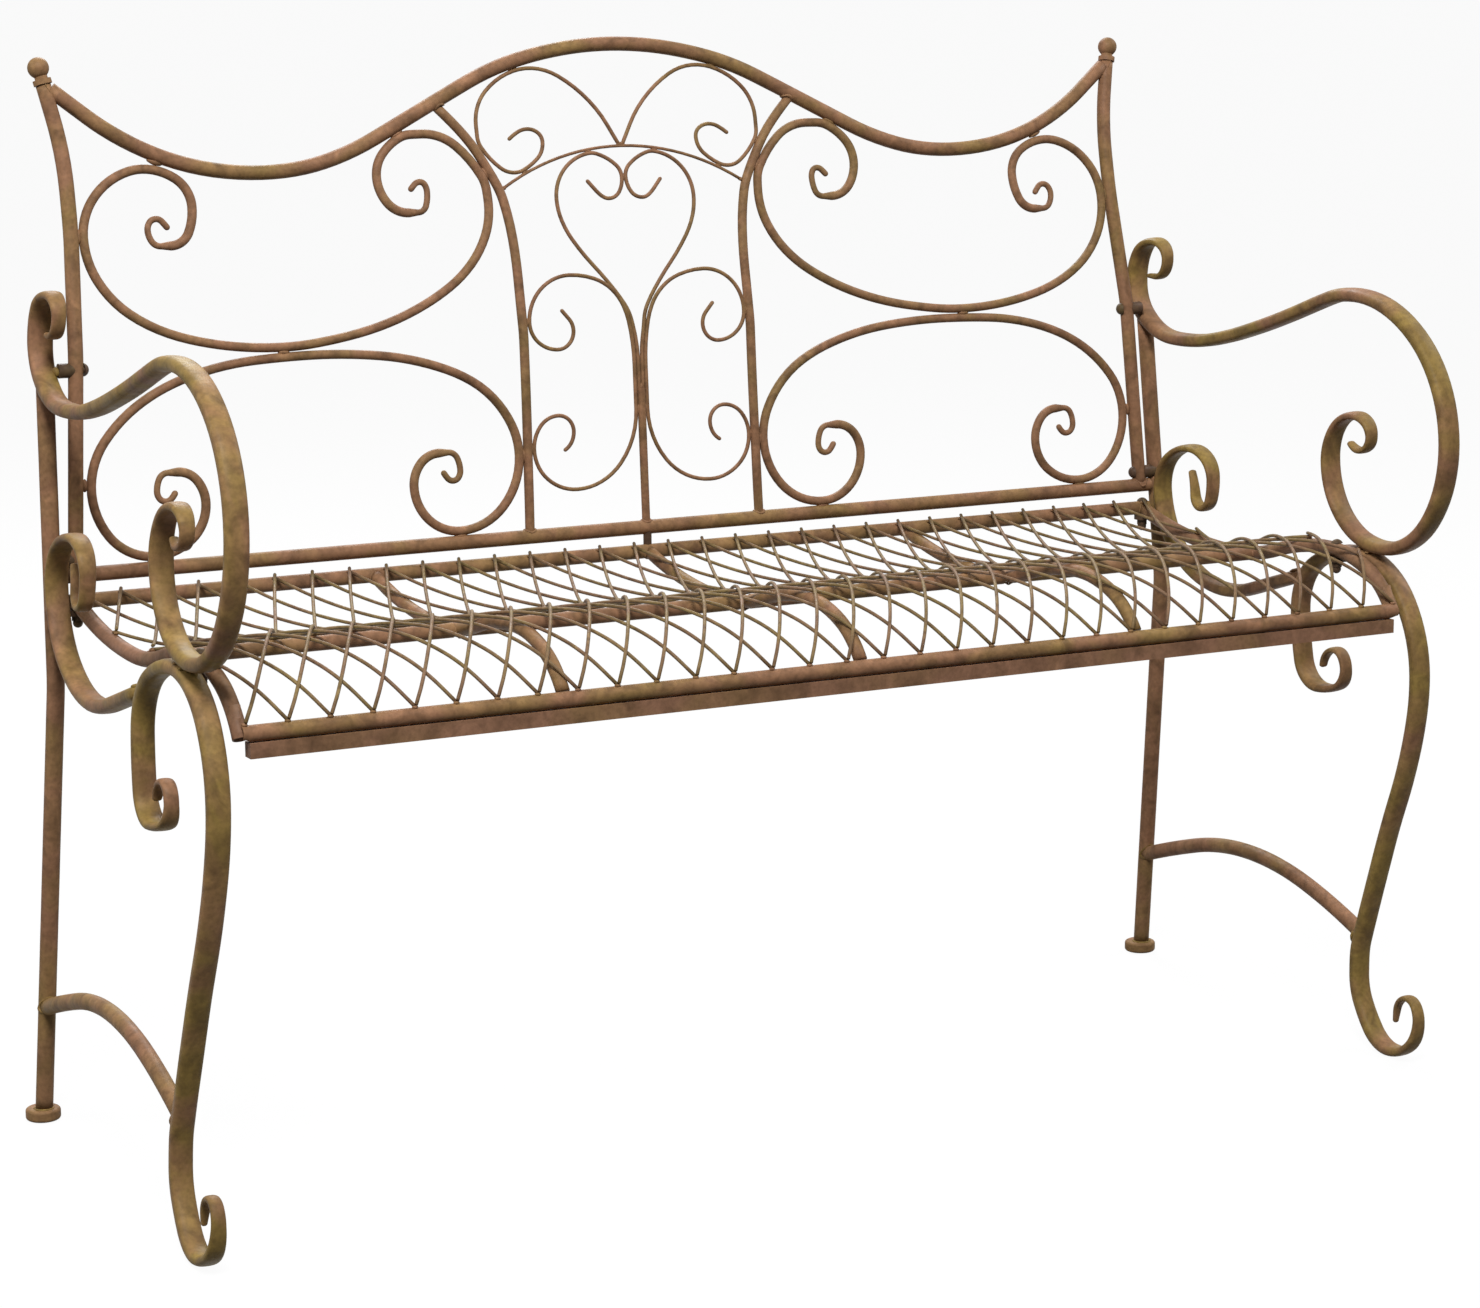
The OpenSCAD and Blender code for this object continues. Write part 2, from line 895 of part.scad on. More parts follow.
module side_rails_cut() {
    seat_line_rod(seat_x, rail_d + 2 * touch);
    seat_line_rod(-seat_x, rail_d + 2 * touch);
}

module seat_rear_rail() {
    color("#8a6f4c")
        centred()
            difference() {
                cross_tube(seat_rear.x, seat_rear.y, seat_x + rail_d / 2);
                seat_bolt_holes();
            }
}

module seat_front_rail() {
    color("#8a6f4c")
        centred()
            difference() {
                cross_tube(seat_front.x, seat_front.y, seat_x);
                on_seat(seat_x)
                    cope(seat_open_end, rail_d);
                on_seat(-seat_x)
                    cope(seat_open_end, rail_d);
            }
}

// The cross members are thinner than the rails, and their tops are level with the rails' tops.
cross_member_x = [-281 * wide, 0, 281 * wide];
member_d = rail_d - 1.5;
function member_line() = [for (k = seat_line()) beside(k, (rail_d - member_d) / 2 - touch)];

module member_rod(x, d) {
    on_seat(x)
        rod(member_line(), d, seat_sag);
}

// The middle rail is cut through where the cross members pass.
module seat_middle_rail() {
    z = seat_line_z(mid_rail_f);
    cut = member_d + 2 * touch;
    color("#8a6f4c")
        centred()
            difference() {
                cross_tube(mid_rail_f, z, seat_x);
                side_rails_cut();
                for (x = cross_member_x)
                    translate([x - cut / 2, -mid_rail_f - rail_d, z - rail_d])
                        cube([cut, 2 * rail_d, 2 * rail_d]);
            }
}

// The side rails are open at their front ends.
module one_side_rail() {
    depth = 30;
    color("#8a6a4a")
        centred()
            difference() {
                on_seat(seat_x)
                    difference() {
                        rod(seat_line(), rail_d, seat_sag);
                        translate([seat_open_end.x, seat_open_end.y, 0])
                            rotate([0, 0, seat_open_end.z])
                                translate([-depth, 0, 0])
                                    straight_rod(depth + 1, rail_bore);
                    }
                seat_rear_cut();
                seat_bolt_holes();
            }
}

module seat_side_rail_right() {
    one_side_rail();
}

module seat_side_rail_left() {
    mirrored()
        one_side_rail();
}

module seat_cross_members() {
    color("#8a6a4a")
        centred()
            for (x = cross_member_x)
                difference() {
                    member_rod(x, member_d);
                    seat_rear_cut();
                    seat_front_cut();
                    translate([x - 20, -seat_front.x - 30, seat_front.y - 30])
                        cube([40, 30, 60]);
                }
}

bar_size = 12.5;
bar_gap = 0.3;

module seat_front_bar() {
    half = seat_x - 5;
    top = seat_front.y - rail_d / 2 - bar_gap;
    color("#7a5f45")
        centred()
            translate([-half, -seat_front.x - bar_size / 2, top - bar_size])
                cube([2 * half, bar_size, bar_size]);
}

// Seat lattice: wires that were straight in the flat panel, and bend down with it along the seat line.

wire_half_x = seat_x - 2;
wire_pitch = 2 * (seat_x - rail_d / 5) / (2 * lattice_points + 1);
wire_sides = 5;
wire_rear_a = 42;
wire_layer_gap = 0.1;

// The wires slope less at the rear of the seat than at the front: shares at the rear and further on.
wire_spread = 0.095;
wire_spread_on = 0.29;

// The line that the wires rest on, as stations [forward, height, heading]. It follows the tops of
// the rails, from the front of the rear rail to the top of the front rail.
function wire_line() =
    let (r = rail_d / 2, line = stations(with_d(seat_line(), rail_d), seat_sag))
    [
        [seat_rear.x + r * sin(wire_rear_a), seat_rear.y + r * cos(wire_rear_a), -14],
        for (i = [1 : len(line) - 2])
            if (line[i].x > seat_rear.x + 1.5 * rail_d && line[i].x < seat_front.x - rail_d)
                [each beside(line[i], r)],
        [seat_front.x, seat_front.y + r, -46]
    ];

function run_to(line, i) =
    i == 0 ? 0 : run_to(line, i - 1) + norm([line[i].x - line[i - 1].x, line[i].y - line[i - 1].y]);

// The part of the line between two distances along it, as [forward, height, heading, distance].
function line_at(line, runs, s) =
    let (
        i = [for (j = [1 : len(line) - 1]) if (s <= runs[j] + 0.001) j][0],
        f = (s - runs[i - 1]) / (runs[i] - runs[i - 1]),
        k = line[i - 1] + f * (line[i] - line[i - 1])
    )
    [k.x, k.y, k.z, s];

function wire_ring(k, x, slope, lift) =
    let (
        t = [slope, -cos(k.z), sin(k.z)] / norm([slope, 1]),
        n = [0, sin(k.z), cos(k.z)],
        c = [x, -k.x, k.y] + lift * n,
        b = cross(t, n)
    )
    [for (i = [0 : wire_sides - 1])
        let (a = 360 * i / wire_sides)
        c + wire_d / 2 * (cos(a) * n + sin(a) * b)];

// How far a wire has moved sideways at a share of its length, how fast it moves there, and the share
// where it has moved so far.
wire_reach = lattice_shift * wire_pitch;
function spread_at(share) = wire_spread + wire_spread_on * share;
function reach_at(share) = share * (1 - (1 - share) * spread_at(share));
function reach_slope(share) =
    1 - (1 - 2 * share) * spread_at(share) - share * (1 - share) * wire_spread_on;
function share_at(reach, lo = 0, hi = 1, steps = 20) =
    let (mid = (lo + hi) / 2)
    reach <= 0 ? 0 : reach >= 1 ? 1 : steps == 0 ? mid
        : reach_at(mid) > reach ? share_at(reach, lo, mid, steps - 1)
        : share_at(reach, mid, hi, steps - 1);

// One layer of wires, which all slope the same way. The other layer is its mirror image, higher.
module wire_layer(lift) {
    line = wire_line();
    runs = [for (i = [0 : len(line) - 1]) run_to(line, i)];
    whole = runs[len(line) - 1];
    for (i = [-lattice_points - lattice_shift : lattice_points]) {
        rear_x = (i + 0.5) * wire_pitch;
        s0 = whole * share_at((-wire_half_x - rear_x) / wire_reach);
        s1 = whole * share_at((wire_half_x - rear_x) / wire_reach);
        middle = [for (s = runs) if (s > s0 + 4 && s < s1 - 4) s];
        if (s1 - s0 > 20)
            sweep([for (s = concat([s0], middle, [s1]))
                let (
                    x = rear_x + wire_reach * reach_at(s / whole),
                    slope = wire_reach / whole * reach_slope(s / whole)
                )
                wire_ring(line_at(line, runs, s), x, slope, lift)]);
    }
}

module seat_wires_lower() {
    color("#80704a")
        centred()
            wire_layer(wire_d / 2 + wire_layer_gap);
}

module seat_wires_upper() {
    color("#80704a")
        centred()
            mirrored()
                wire_layer(1.5 * wire_d + 2 * wire_layer_gap);
}

// Fasteners and the bosses and lugs that they hold.

bolt_d = 6;
head_d = 12;
head_h = 4.5;
boss_d = 13;
back_bolt_z = [bottom_rail_z * tall + (rail_d + boss_d) / 2 + 2 * touch, 688 * tall];
head_lift = 0.1 + head_d / 2 * tan(upright_lean);

function upright_x(z) = upright_fold_x + (fold_z - z) * tan(upright_lean);

module dome_head(d, h) {
    r = (d * d / 4 + h * h) / (2 * h);
    intersection() {
        translate([0, 0, h - r])
            sphere(r = r, $fn = 72);
        cylinder(h = h, d = d + 2);
    }
}

// A shape along +X at the upright of the right side, from its inner face outwards.
module at_back_bolt(z, out = 0) {
    translate([upright_x(z) + out, lower_y(z), z])
        rotate([0, 90, 0])
            children();
}

module back_bolt_holes() {
    for (z = back_bolt_z)
        at_back_bolt(z, -rail_d)
            cylinder(h = 2 * rail_d, d = bolt_d + 2 * touch);
}

function boss_end(z) =
    z > fold_z - 20 * tall ? side_x(z) - strip_w / 2 - touch : side_x(z);

module one_back_bolt(z) {
    shank = boss_end(z) - upright_x(z) + rail_d / 2 - (z > fold_z - 20 * tall ? 2 : leg_d / 2 + 2);
    at_back_bolt(z, -rail_d / 2 - head_lift) {
        cylinder(h = shank, d = bolt_d);
        mirror([0, 0, 1])
            dome_head(head_d, head_h);
    }
}

module back_bolts() {
    color("#4e3d2f")
        centred()
            for (z = back_bolt_z) {
                one_back_bolt(z);
                mirrored()
                    one_back_bolt(z);
            }
}

module one_side_bosses() {
    foot = upright_low()[0];
    color("#5d4a38")
        centred()
            for (z = back_bolt_z)
                difference() {
                    at_back_bolt(z)
                        cylinder(h = boss_end(z) - upright_x(z), d = boss_d);
                    on_lower()
                        cope(foot, rail_d, 500 * tall);
                    at_back_bolt(z)
                        cylinder(h = 60, d = bolt_d + touch);
                    if (z < fold_z - 20 * tall)
                        on_side()
                            cope(rear_leg_at(z), leg_d);
                }
}

lug_w = 16;
lug_t = 5;
seat_bolt_f = [seat_rear.x, 378 * deep];
seat_bolt_z = [seat_rear.y, seat_line_z(seat_bolt_f[1])];
lug_z = [seat_rear.y - rail_d / 2 - touch - lug_t, leg_crest().y - strip_t / 2 - 1.5];

module at_seat_bolts(heights) {
    for (i = [0 : 1])
        translate([seat_x, -seat_bolt_f[i], heights[i]])
            children();
}

module one_side_bolt_holes() {
    at_seat_bolts(lug_z)
        translate([0, 0, -rail_d])
            cylinder(h = 4 * rail_d, d = bolt_d + 2 * touch);
}

module seat_bolt_holes() {
    one_side_bolt_holes();
    mirrored()
        one_side_bolt_holes();
}

// The rear lug is cut to the leg, and the front lug ends at the side of the leg's strip.
module lug_blank(reach) {
    cylinder(h = lug_t, d = lug_w);
    translate([0, -lug_w / 2, 0])
        cube([reach, lug_w, lug_t]);
}

module one_side_lugs() {
    strip_edge = side_x(leg_crest().y) - 0.93 * strip_w / 2 - 2 * touch;
    color("#5d4a38")
        centred() {
            difference() {
                translate([seat_x, -seat_bolt_f[0], lug_z[0]])
                    lug_blank(side_x(lug_z[0]) - seat_x);
                on_side()
                    cope(rear_leg_at(lug_z[0]), leg_d);
                side_rails_cut();
                one_side_bolt_holes();
            }
            difference() {
                translate([seat_x, -seat_bolt_f[1], lug_z[1]])
                    lug_blank(strip_edge - seat_x);
                side_rails_cut();
                one_side_bolt_holes();
            }
        }
}

seat_head_h = 3.5;

// The front heads stand a little higher, since the rail slopes there.
seat_head_gap = [0.1, 1.2];

module one_side_seat_bolts() {
    below = nut_h - 2 * touch;
    for (i = [0 : 1]) {
        head_z = seat_bolt_z[i] + rail_d / 2 + seat_head_gap[i];
        translate([seat_x, -seat_bolt_f[i], head_z])
            dome_head(head_d - 1, seat_head_h);
        translate([seat_x, -seat_bolt_f[i], lug_z[i] - below])
            cylinder(h = head_z + touch - lug_z[i] + below, d = bolt_d);
    }
}

module seat_bolts() {
    color("#4e3d2f")
        centred() {
            one_side_seat_bolts();
            mirrored()
                one_side_seat_bolts();
        }
}

nut_d = 11;
nut_h = 5;

module acorn_nut() {
    difference() {
        union() {
            translate([0, 0, -nut_h])
                cylinder(h = nut_h, d = nut_d, $fn = 6);
            translate([0, 0, -nut_h - 2])
                sphere(d = nut_d - 2);
        }
        translate([0, 0, -nut_h - 2])
            cylinder(h = nut_h + 3, d = bolt_d + touch);
    }
}

module one_side_seat_nuts() {
    at_seat_bolts(lug_z - [touch, touch])
        acorn_nut();
}

module seat_nuts() {
    color("#4e3d2f")
        centred() {
            one_side_seat_nuts();
            mirrored()
                one_side_seat_nuts();
        }
}

// A pin that keeps the back panel's bottom rail off the seat's rear rail.
module back_rest_pin() {
    y = (lower_y(bottom_rail_z * tall) - seat_rear.x) / 2;
    color("#5d4a38")
        centred()
            difference() {
                translate([0, y, seat_rear.y])
                    cylinder(h = bottom_rail_z * tall - seat_rear.y, d = 8);
                bottom_rail_cut();
                seat_rear_cut();
            }
}

module arm_right() {
    one_arm();
}

module arm_left() {
    mirrored()
        one_arm();
}

module front_leg_right() {
    one_front_leg();
}

module front_leg_left() {
    mirrored()
        one_front_leg();
}

module s_scroll_right() {
    one_s_scroll();
}

module s_scroll_left() {
    mirrored()
        one_s_scroll();
}

module rear_leg_right() {
    one_rear_leg();
}

module rear_leg_left() {
    mirrored()
        one_rear_leg();
}

module rear_foot_right() {
    one_rear_foot();
}

module rear_foot_left() {
    mirrored()
        one_rear_foot();
}

module stretcher_right() {
    one_stretcher();
}

module stretcher_left() {
    mirrored()
        one_stretcher();
}

module bolt_bosses_right() {
    one_side_bosses();
}

module bolt_bosses_left() {
    mirrored()
        one_side_bosses();
}

module seat_lugs_right() {
    one_side_lugs();
}

module seat_lugs_left() {
    mirrored()
        one_side_lugs();
}

back_top_rail();
back_bottom_rail();
back_upright_left();
back_upright_right();
finial_left();
finial_right();
inner_vertical_left();
inner_vertical_right();
upper_scroll_left();
upper_scroll_right();
lower_scroll_left();
lower_scroll_right();
center_rod();
heart_rod_left();
heart_rod_right();
center_scroll_left();
center_scroll_right();
center_arc();
top_volute_left();
top_volute_right();
back_rest_pin();
arm_left();
arm_right();
front_leg_left();
front_leg_right();
s_scroll_left();
s_scroll_right();
rear_leg_left();
rear_leg_right();
rear_foot_left();
rear_foot_right();
stretcher_left();
stretcher_right();
bolt_bosses_left();
bolt_bosses_right();
seat_lugs_left();
seat_lugs_right();
seat_front_rail();
seat_middle_rail();
seat_rear_rail();
seat_side_rail_left();
seat_side_rail_right();
seat_cross_members();
seat_front_bar();
seat_wires_lower();
seat_wires_upper();
back_bolts();
seat_bolts();
seat_nuts();
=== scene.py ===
"""The look of the garden bench: smooth rods and strips, weld beads, mottled bronze paint, light."""
import json
import math
import random
import bpy
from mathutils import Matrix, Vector, noise


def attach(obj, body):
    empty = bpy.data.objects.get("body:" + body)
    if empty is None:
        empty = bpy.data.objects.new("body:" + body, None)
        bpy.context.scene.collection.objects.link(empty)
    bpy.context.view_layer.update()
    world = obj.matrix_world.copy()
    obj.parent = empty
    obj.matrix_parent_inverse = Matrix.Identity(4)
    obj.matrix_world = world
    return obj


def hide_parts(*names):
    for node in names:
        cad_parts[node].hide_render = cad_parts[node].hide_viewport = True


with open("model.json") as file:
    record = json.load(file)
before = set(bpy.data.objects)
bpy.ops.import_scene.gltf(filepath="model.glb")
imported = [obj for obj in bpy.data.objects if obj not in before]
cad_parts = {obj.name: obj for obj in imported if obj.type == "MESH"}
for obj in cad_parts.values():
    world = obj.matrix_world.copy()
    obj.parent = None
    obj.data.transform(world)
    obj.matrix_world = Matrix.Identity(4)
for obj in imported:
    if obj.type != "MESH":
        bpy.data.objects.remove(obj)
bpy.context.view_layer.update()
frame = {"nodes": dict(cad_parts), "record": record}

# Sizes in millimetres, as the solids have them.

RAIL_D = 13.5
LEG_D = 16
STRIP_W = 20
STRIP_T = 13
SCROLL_D = 8.5
INNER_D = 9
STEM_D = 7.8
FINE_D = 3.8
ARC_D = 3
WIRE_D = 3.2
STRETCHER_D = 15
FOOT_X = 600
FOOT_Y = 248.7
FOOT_H = 11
SIDE_LEAN = math.radians(1.91)
LOWER_TILT = math.radians(3.55)
UPPER_TILT = math.radians(11.5)
UPRIGHT_LEAN = 3.65
FOLD_Y = -32.4
FOLD_Z = 697
FOLD_R = 120
BOTTOM_RAIL_Z = 507.7
UPRIGHT_X = 550.4
INNER_X = 119.3
WALL = 1.5
TOUCH = 0.2

# Lines. A knot is (x, y, heading in degrees), and a station adds a width and a thickness.


def along(k, s):
    """Knot k moved on by s in its heading."""
    return (k[0] + s * math.cos(math.radians(k[2])), k[1] + s * math.sin(math.radians(k[2])), k[2])


def beside(k, s):
    """Knot k moved to its left by s."""
    return (k[0] - s * math.sin(math.radians(k[2])), k[1] + s * math.cos(math.radians(k[2])), k[2])


def turned(k, a=180):
    return (k[0], k[1], k[2] + a)


def piece(k, q):
    """The straight or round piece that leaves knot k and ends at point q."""
    dx, dy = q[0] - k[0], q[1] - k[1]
    bend = math.degrees(math.atan2(dy, dx)) - k[2]
    bend -= 360 * round(bend / 360)
    length = math.hypot(dx, dy)
    if abs(bend) < 0.05:
        return (*k[:3], length, 0)
    return (*k[:3], length / (2 * math.sin(math.radians(abs(bend)))), 2 * bend)


def two_arcs(a, b):
    """Two arcs that leave knot a and arrive at knot b without a corner."""
    ta = Vector((math.cos(math.radians(a[2])), math.sin(math.radians(a[2]))))
    tb = Vector((math.cos(math.radians(b[2])), math.sin(math.radians(b[2]))))
    v = Vector((b[0] - a[0], b[1] - a[1]))
    t = ta + tb
    m = 2 * (1 - ta.dot(tb))
    if m < 1e-6:
        d = v.dot(v) / (2 * v.dot(t))
    else:
        d = (math.sqrt(v.dot(t) ** 2 + m * v.dot(v)) - v.dot(t)) / m
    p, q = along(a, d), along(b, -d)
    first = piece(a, ((p[0] + q[0]) / 2, (p[1] + q[1]) / 2))
    second = piece(((p[0] + q[0]) / 2, (p[1] + q[1]) / 2, a[2] + first[4]), b)
    return [first, second]


def part_way(p, f):
    """The knot at a fraction f of a piece."""
    if p[4] == 0:
        return along(p, f * p[3])
    r = math.copysign(p[3], p[4])
    c = beside(p, r)
    a = p[2] + f * p[4]
    return (c[0] + r * math.sin(math.radians(a)), c[1] - r * math.cos(math.radians(a)), a)


def path(knots):
    """The straight and round pieces of a whole line."""
    return [p for a, b in zip(knots, knots[1:]) for p in two_arcs(a, b)]


def knot_at(knots, axis, value):
    """The first knot of a line where coordinate 0 or 1 has the value."""
    for p in path(knots):
        lo, hi = 0.0, 1.0
        before = part_way(p, lo)[axis] - value
        if before * (part_way(p, hi)[axis] - value) > 0:
            continue
        for _ in range(30):
            mid = (lo + hi) / 2
            if (part_way(p, mid)[axis] - value) * before <= 0:
                hi = mid
            else:
                lo = mid
        return part_way(p, (lo + hi) / 2)


def piece_length(p):
    return p[3] if p[4] == 0 else p[3] * math.radians(abs(p[4]))


def stations(knots, step=6, reach=12):
    """Stations along a line, one every few degrees of bend or millimetres of length."""
    line = []
    for a, b in zip(knots, knots[1:]):
        arcs = two_arcs(a, b)
        whole = sum(piece_length(p) for p in arcs)
        run = 0
        for p in arcs:
            count = max(1, math.ceil(abs(p[4]) / step), math.ceil(piece_length(p) / reach))
            for i in range(count):
                f = (run + piece_length(p) * i / count) / whole
                k = part_way(p, i / count)
                line.append((*k, a[3] + f * (b[3] - a[3]), a[4] + f * (b[4] - a[4])))
            run += piece_length(p)
    line.append(tuple(knots[-1]))
    return line


def with_d(knots, d):
    return [(*k[:3], d, d) for k in knots]


def backwards(knots):
    return [(k[0], k[1], k[2] + 180, *k[3:]) for k in reversed(knots)]


def rounded_ends(line, start=True, end=True):
    """Adds small stations at the ends, so that a rod ends in a dome."""
    caps = [(0.45, 0.89), (0.77, 0.64), (0.95, 0.3), (1.0, 0.04)]
    out = list(line)
    if end:
        k = line[-1]
        out += [(*along(k, c * min(k[3], k[4]) / 2), k[3] * s, k[4] * s) for c, s in caps]
    if start:
        k = line[0]
        out = [(*along(k, -c * min(k[3], k[4]) / 2), k[3] * s, k[4] * s) for c, s in reversed(caps)] + out
    return out


# Where the flat lines stand in the bench.


def on_back(tilt, mirrored=1):
    def place(x, y, z):
        return (
            mirrored * x,
            FOLD_Y + y * math.sin(tilt) - z * math.cos(tilt) + FOOT_Y,
            FOLD_Z + y * math.cos(tilt) + z * math.sin(tilt),
        )
    return place


def on_side(mirrored=1):
    def place(x, y, z):
        return (
            mirrored * (FOOT_X + z * math.cos(SIDE_LEAN) - y * math.sin(SIDE_LEAN)),
            x + FOOT_Y,
            z * math.sin(SIDE_LEAN) + y * math.cos(SIDE_LEAN),
        )
    return place


def on_seat(at):
    def place(x, y, z):
        return (at - z, -x + FOOT_Y, y)
    return place


def low(x, z, a):
    """A knot of the back's lower plane, from its height over the floor."""
    return (x, (z - FOLD_Z) / math.cos(LOWER_TILT), a)


def up(x, z, a):
    """A knot of the back's upper plane, which leans more."""
    return (x, (z - FOLD_Z) / math.cos(UPPER_TILT), a)


# Meshes.


def mesh_object(name, verts, faces, slot, paint):
    mesh = bpy.data.meshes.new(name)
    mesh.from_pydata([tuple(c / 1000 for c in v) for v in verts], [], faces)
    mesh.update()
    mesh.polygons.foreach_set("use_smooth", [True] * len(mesh.polygons))
    obj = bpy.data.objects.new(name, mesh)
    bpy.context.scene.collection.objects.link(obj)
    mesh.materials.append(paint)
    return obj


def swept(rings, first=0):
    """Faces over rings that all have the same number of points, with closed ends."""
    n = len(rings[0])
    verts = [p for r in rings for p in r]
    faces = [
        (first + i * n + j, first + (i + 1) * n + j,
         first + (i + 1) * n + (j + 1) % n, first + i * n + (j + 1) % n)
        for i in range(len(rings) - 1) for j in range(n)
    ]
    faces.append(tuple(first + j for j in range(n)))
    faces.append(tuple(first + (len(rings) - 1) * n + n - 1 - j for j in range(n)))
    return verts, faces


def round_ring(g, sides, place):
    ring = []
    for i in range(sides):
        a = 2 * math.pi * i / sides
        p = beside(g, g[4] / 2 * math.cos(a))
        ring.append(place(p[0], p[1], g[3] / 2 * math.sin(a)))
    return ring


def strip_ring(g, sides, place):
    """The section of the flattened tube: an oval with fuller corners."""
    ring = []
    for i in range(sides):
        a = 2 * math.pi * (i + 0.5) / sides
        c, s = math.cos(a), math.sin(a)
        p = beside(g, g[4] / 2 * math.copysign(abs(c) ** 0.72, c))
        ring.append(place(p[0], p[1], g[3] / 2 * math.copysign(abs(s) ** 0.72, s)))
    return ring


def uneven(line, seed, amount=0.012, pitch=45):
    """Worked metal is nowhere quite even: its thickness wanders a little along its length."""
    out = []
    run = 0
    for i, g in enumerate(line):
        if i:
            run += math.hypot(g[0] - line[i - 1][0], g[1] - line[i - 1][1])
        w = 1 + amount * noise.noise(Vector((run / pitch, seed, 0)))
        t = 1 + amount * noise.noise(Vector((run / pitch, seed, 9)))
        out.append((*g[:3], g[3] * w, g[4] * t))
    return out


def finished(verts_and_faces, name, slot, paint, *nodes):
    obj = mesh_object(name, *verts_and_faces, slot, paint)
    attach(obj, "root")
    if nodes:
        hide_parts(*nodes)
    return obj


def rod(name, line, place, slot, paint, *nodes, sides=16, seed=0):
    rings = [round_ring(g, sides, place) for g in uneven(line, seed)]
    return finished(swept(rings), name, slot, paint, *nodes)


def both_sides(build):
    for word, sign in (("right", 1), ("left", -1)):
        build(word, sign)


# Paint: brown and olive-gold patches that run into each other along each rod.


def painted(name, brown, gold, dark, patch, share, rough, grain=1.0):
    """Paint with so many patches a metre, a share of them golden."""
    m = bpy.data.materials.new(name)
    m.use_nodes = True
    nodes, links = m.node_tree.nodes, m.node_tree.links
    shader = nodes["Principled BSDF"]
    where = nodes.new("ShaderNodeTexCoord").outputs["Object"]

    def fog(scale, detail=3.0, distortion=0.0):
        n = nodes.new("ShaderNodeTexNoise")
        n.inputs["Scale"].default_value = scale
        n.inputs["Detail"].default_value = detail
        n.inputs["Distortion"].default_value = distortion
        links.new(where, n.inputs["Vector"])
        return n.outputs["Fac"]

    def ramp(value, *stops):
        r = nodes.new("ShaderNodeValToRGB")
        while len(r.color_ramp.elements) < len(stops):
            r.color_ramp.elements.new(0.5)
        for e, (at, color) in zip(r.color_ramp.elements, stops):
            e.position = at
            e.color = (*color, 1) if isinstance(color, tuple) else (color, color, color, 1)
        links.new(value, r.inputs["Fac"])
        return r.outputs["Color"]

    def mixed(kind, fac, a, b):
        x = nodes.new("ShaderNodeMix")
        x.data_type = "RGBA"
        x.blend_type = kind
        for socket, value in ((x.inputs["Factor"], fac), (x.inputs["A"], a), (x.inputs["B"], b)):
            if isinstance(value, tuple):
                socket.default_value = (*value, 1)
            elif isinstance(value, float):
                socket.default_value = value
            else:
                links.new(value, socket)
        return x.outputs["Result"]

    # Patches of the two colours, and softer clouds of a darker and a paler tone inside them.
    shift = (0.5 - share) * 0.4
    patches = ramp(fog(patch, 3.0, 0.8), (0.38 + shift, 0.0), (0.62 + shift, 1.0))
    color = mixed("MIX", patches, brown, gold)
    clouds = ramp(fog(patch * 3.4, 4.0, 1.2), (0.44, 0.0), (0.80, 0.72))
    color = mixed("MIX", clouds, color, dark)
    pale = ramp(fog(patch * 4.4, 3.0, 0.8), (0.5, 1.0), (0.74, 1.28))
    color = mixed("MULTIPLY", 1.0, color, pale)
    speckle = ramp(fog(260.0, 3.0), (0.34, 0.80), (0.52, 1.0), (0.7, 1.12))
    color = mixed("MULTIPLY", 0.7 * grain, color, speckle)
    links.new(color, shader.inputs["Base Color"])

    roughness = nodes.new("ShaderNodeMapRange")
    roughness.inputs["From Min"].default_value = 0.3
    roughness.inputs["From Max"].default_value = 0.7
    roughness.inputs["To Min"].default_value = rough - 0.07
    roughness.inputs["To Max"].default_value = rough + 0.1
    links.new(fog(45.0, 3.0), roughness.inputs["Value"])
    links.new(roughness.outputs["Result"], shader.inputs["Roughness"])

    # Orange peel of the powder coat over slight dents.
    peel = nodes.new("ShaderNodeBump")
    peel.inputs["Strength"].default_value = 0.16 * grain
    peel.inputs["Distance"].default_value = 0.0003
    links.new(fog(520.0, 2.0), peel.inputs["Height"])
    dents = nodes.new("ShaderNodeBump")
    dents.inputs["Strength"].default_value = 0.32 * grain
    dents.inputs["Distance"].default_value = 0.0012
    links.new(fog(55.0, 2.0), dents.inputs["Height"])
    links.new(dents.outputs["Normal"], peel.inputs["Normal"])
    links.new(peel.outputs["Normal"], shader.inputs["Normal"])
    shader.inputs["Specular IOR Level"].default_value = 0.12
    return m


# The colours are shares of red, green and blue, without gamma.
BROWN = (0.235, 0.122, 0.066)
GOLD = (0.222, 0.147, 0.042)
RED = (0.225, 0.118, 0.070)
DARK = (0.060, 0.032, 0.015)
TUBE = painted("tube_paint", BROWN, (0.218, 0.136, 0.050), DARK, 12.0, 0.38, 0.55)
RAIL = painted("rail_paint", RED, (0.205, 0.118, 0.056), DARK, 9.0, 0.4, 0.55)
STRIP = painted("strip_paint", BROWN, GOLD, DARK, 11.0, 0.56, 0.52)
ROD = painted("rod_paint", BROWN, (0.205, 0.128, 0.052), DARK, 15.0, 0.34, 0.55)
WIRE = painted("wire_paint", (0.175, 0.102, 0.058), (0.18, 0.125, 0.050), DARK, 20.0, 0.5, 0.5, 0.7)
FITTING = painted("dark_paint", (0.080, 0.047, 0.030), (0.09, 0.060, 0.028), (0.038, 0.023, 0.014),
                  24.0, 0.4, 0.48)
PAINTS = {
    "tube_paint": TUBE,
    "strip_paint": STRIP,
    "rod_paint": ROD,
    "wire_paint": WIRE,
    "dark_paint": FITTING,
}

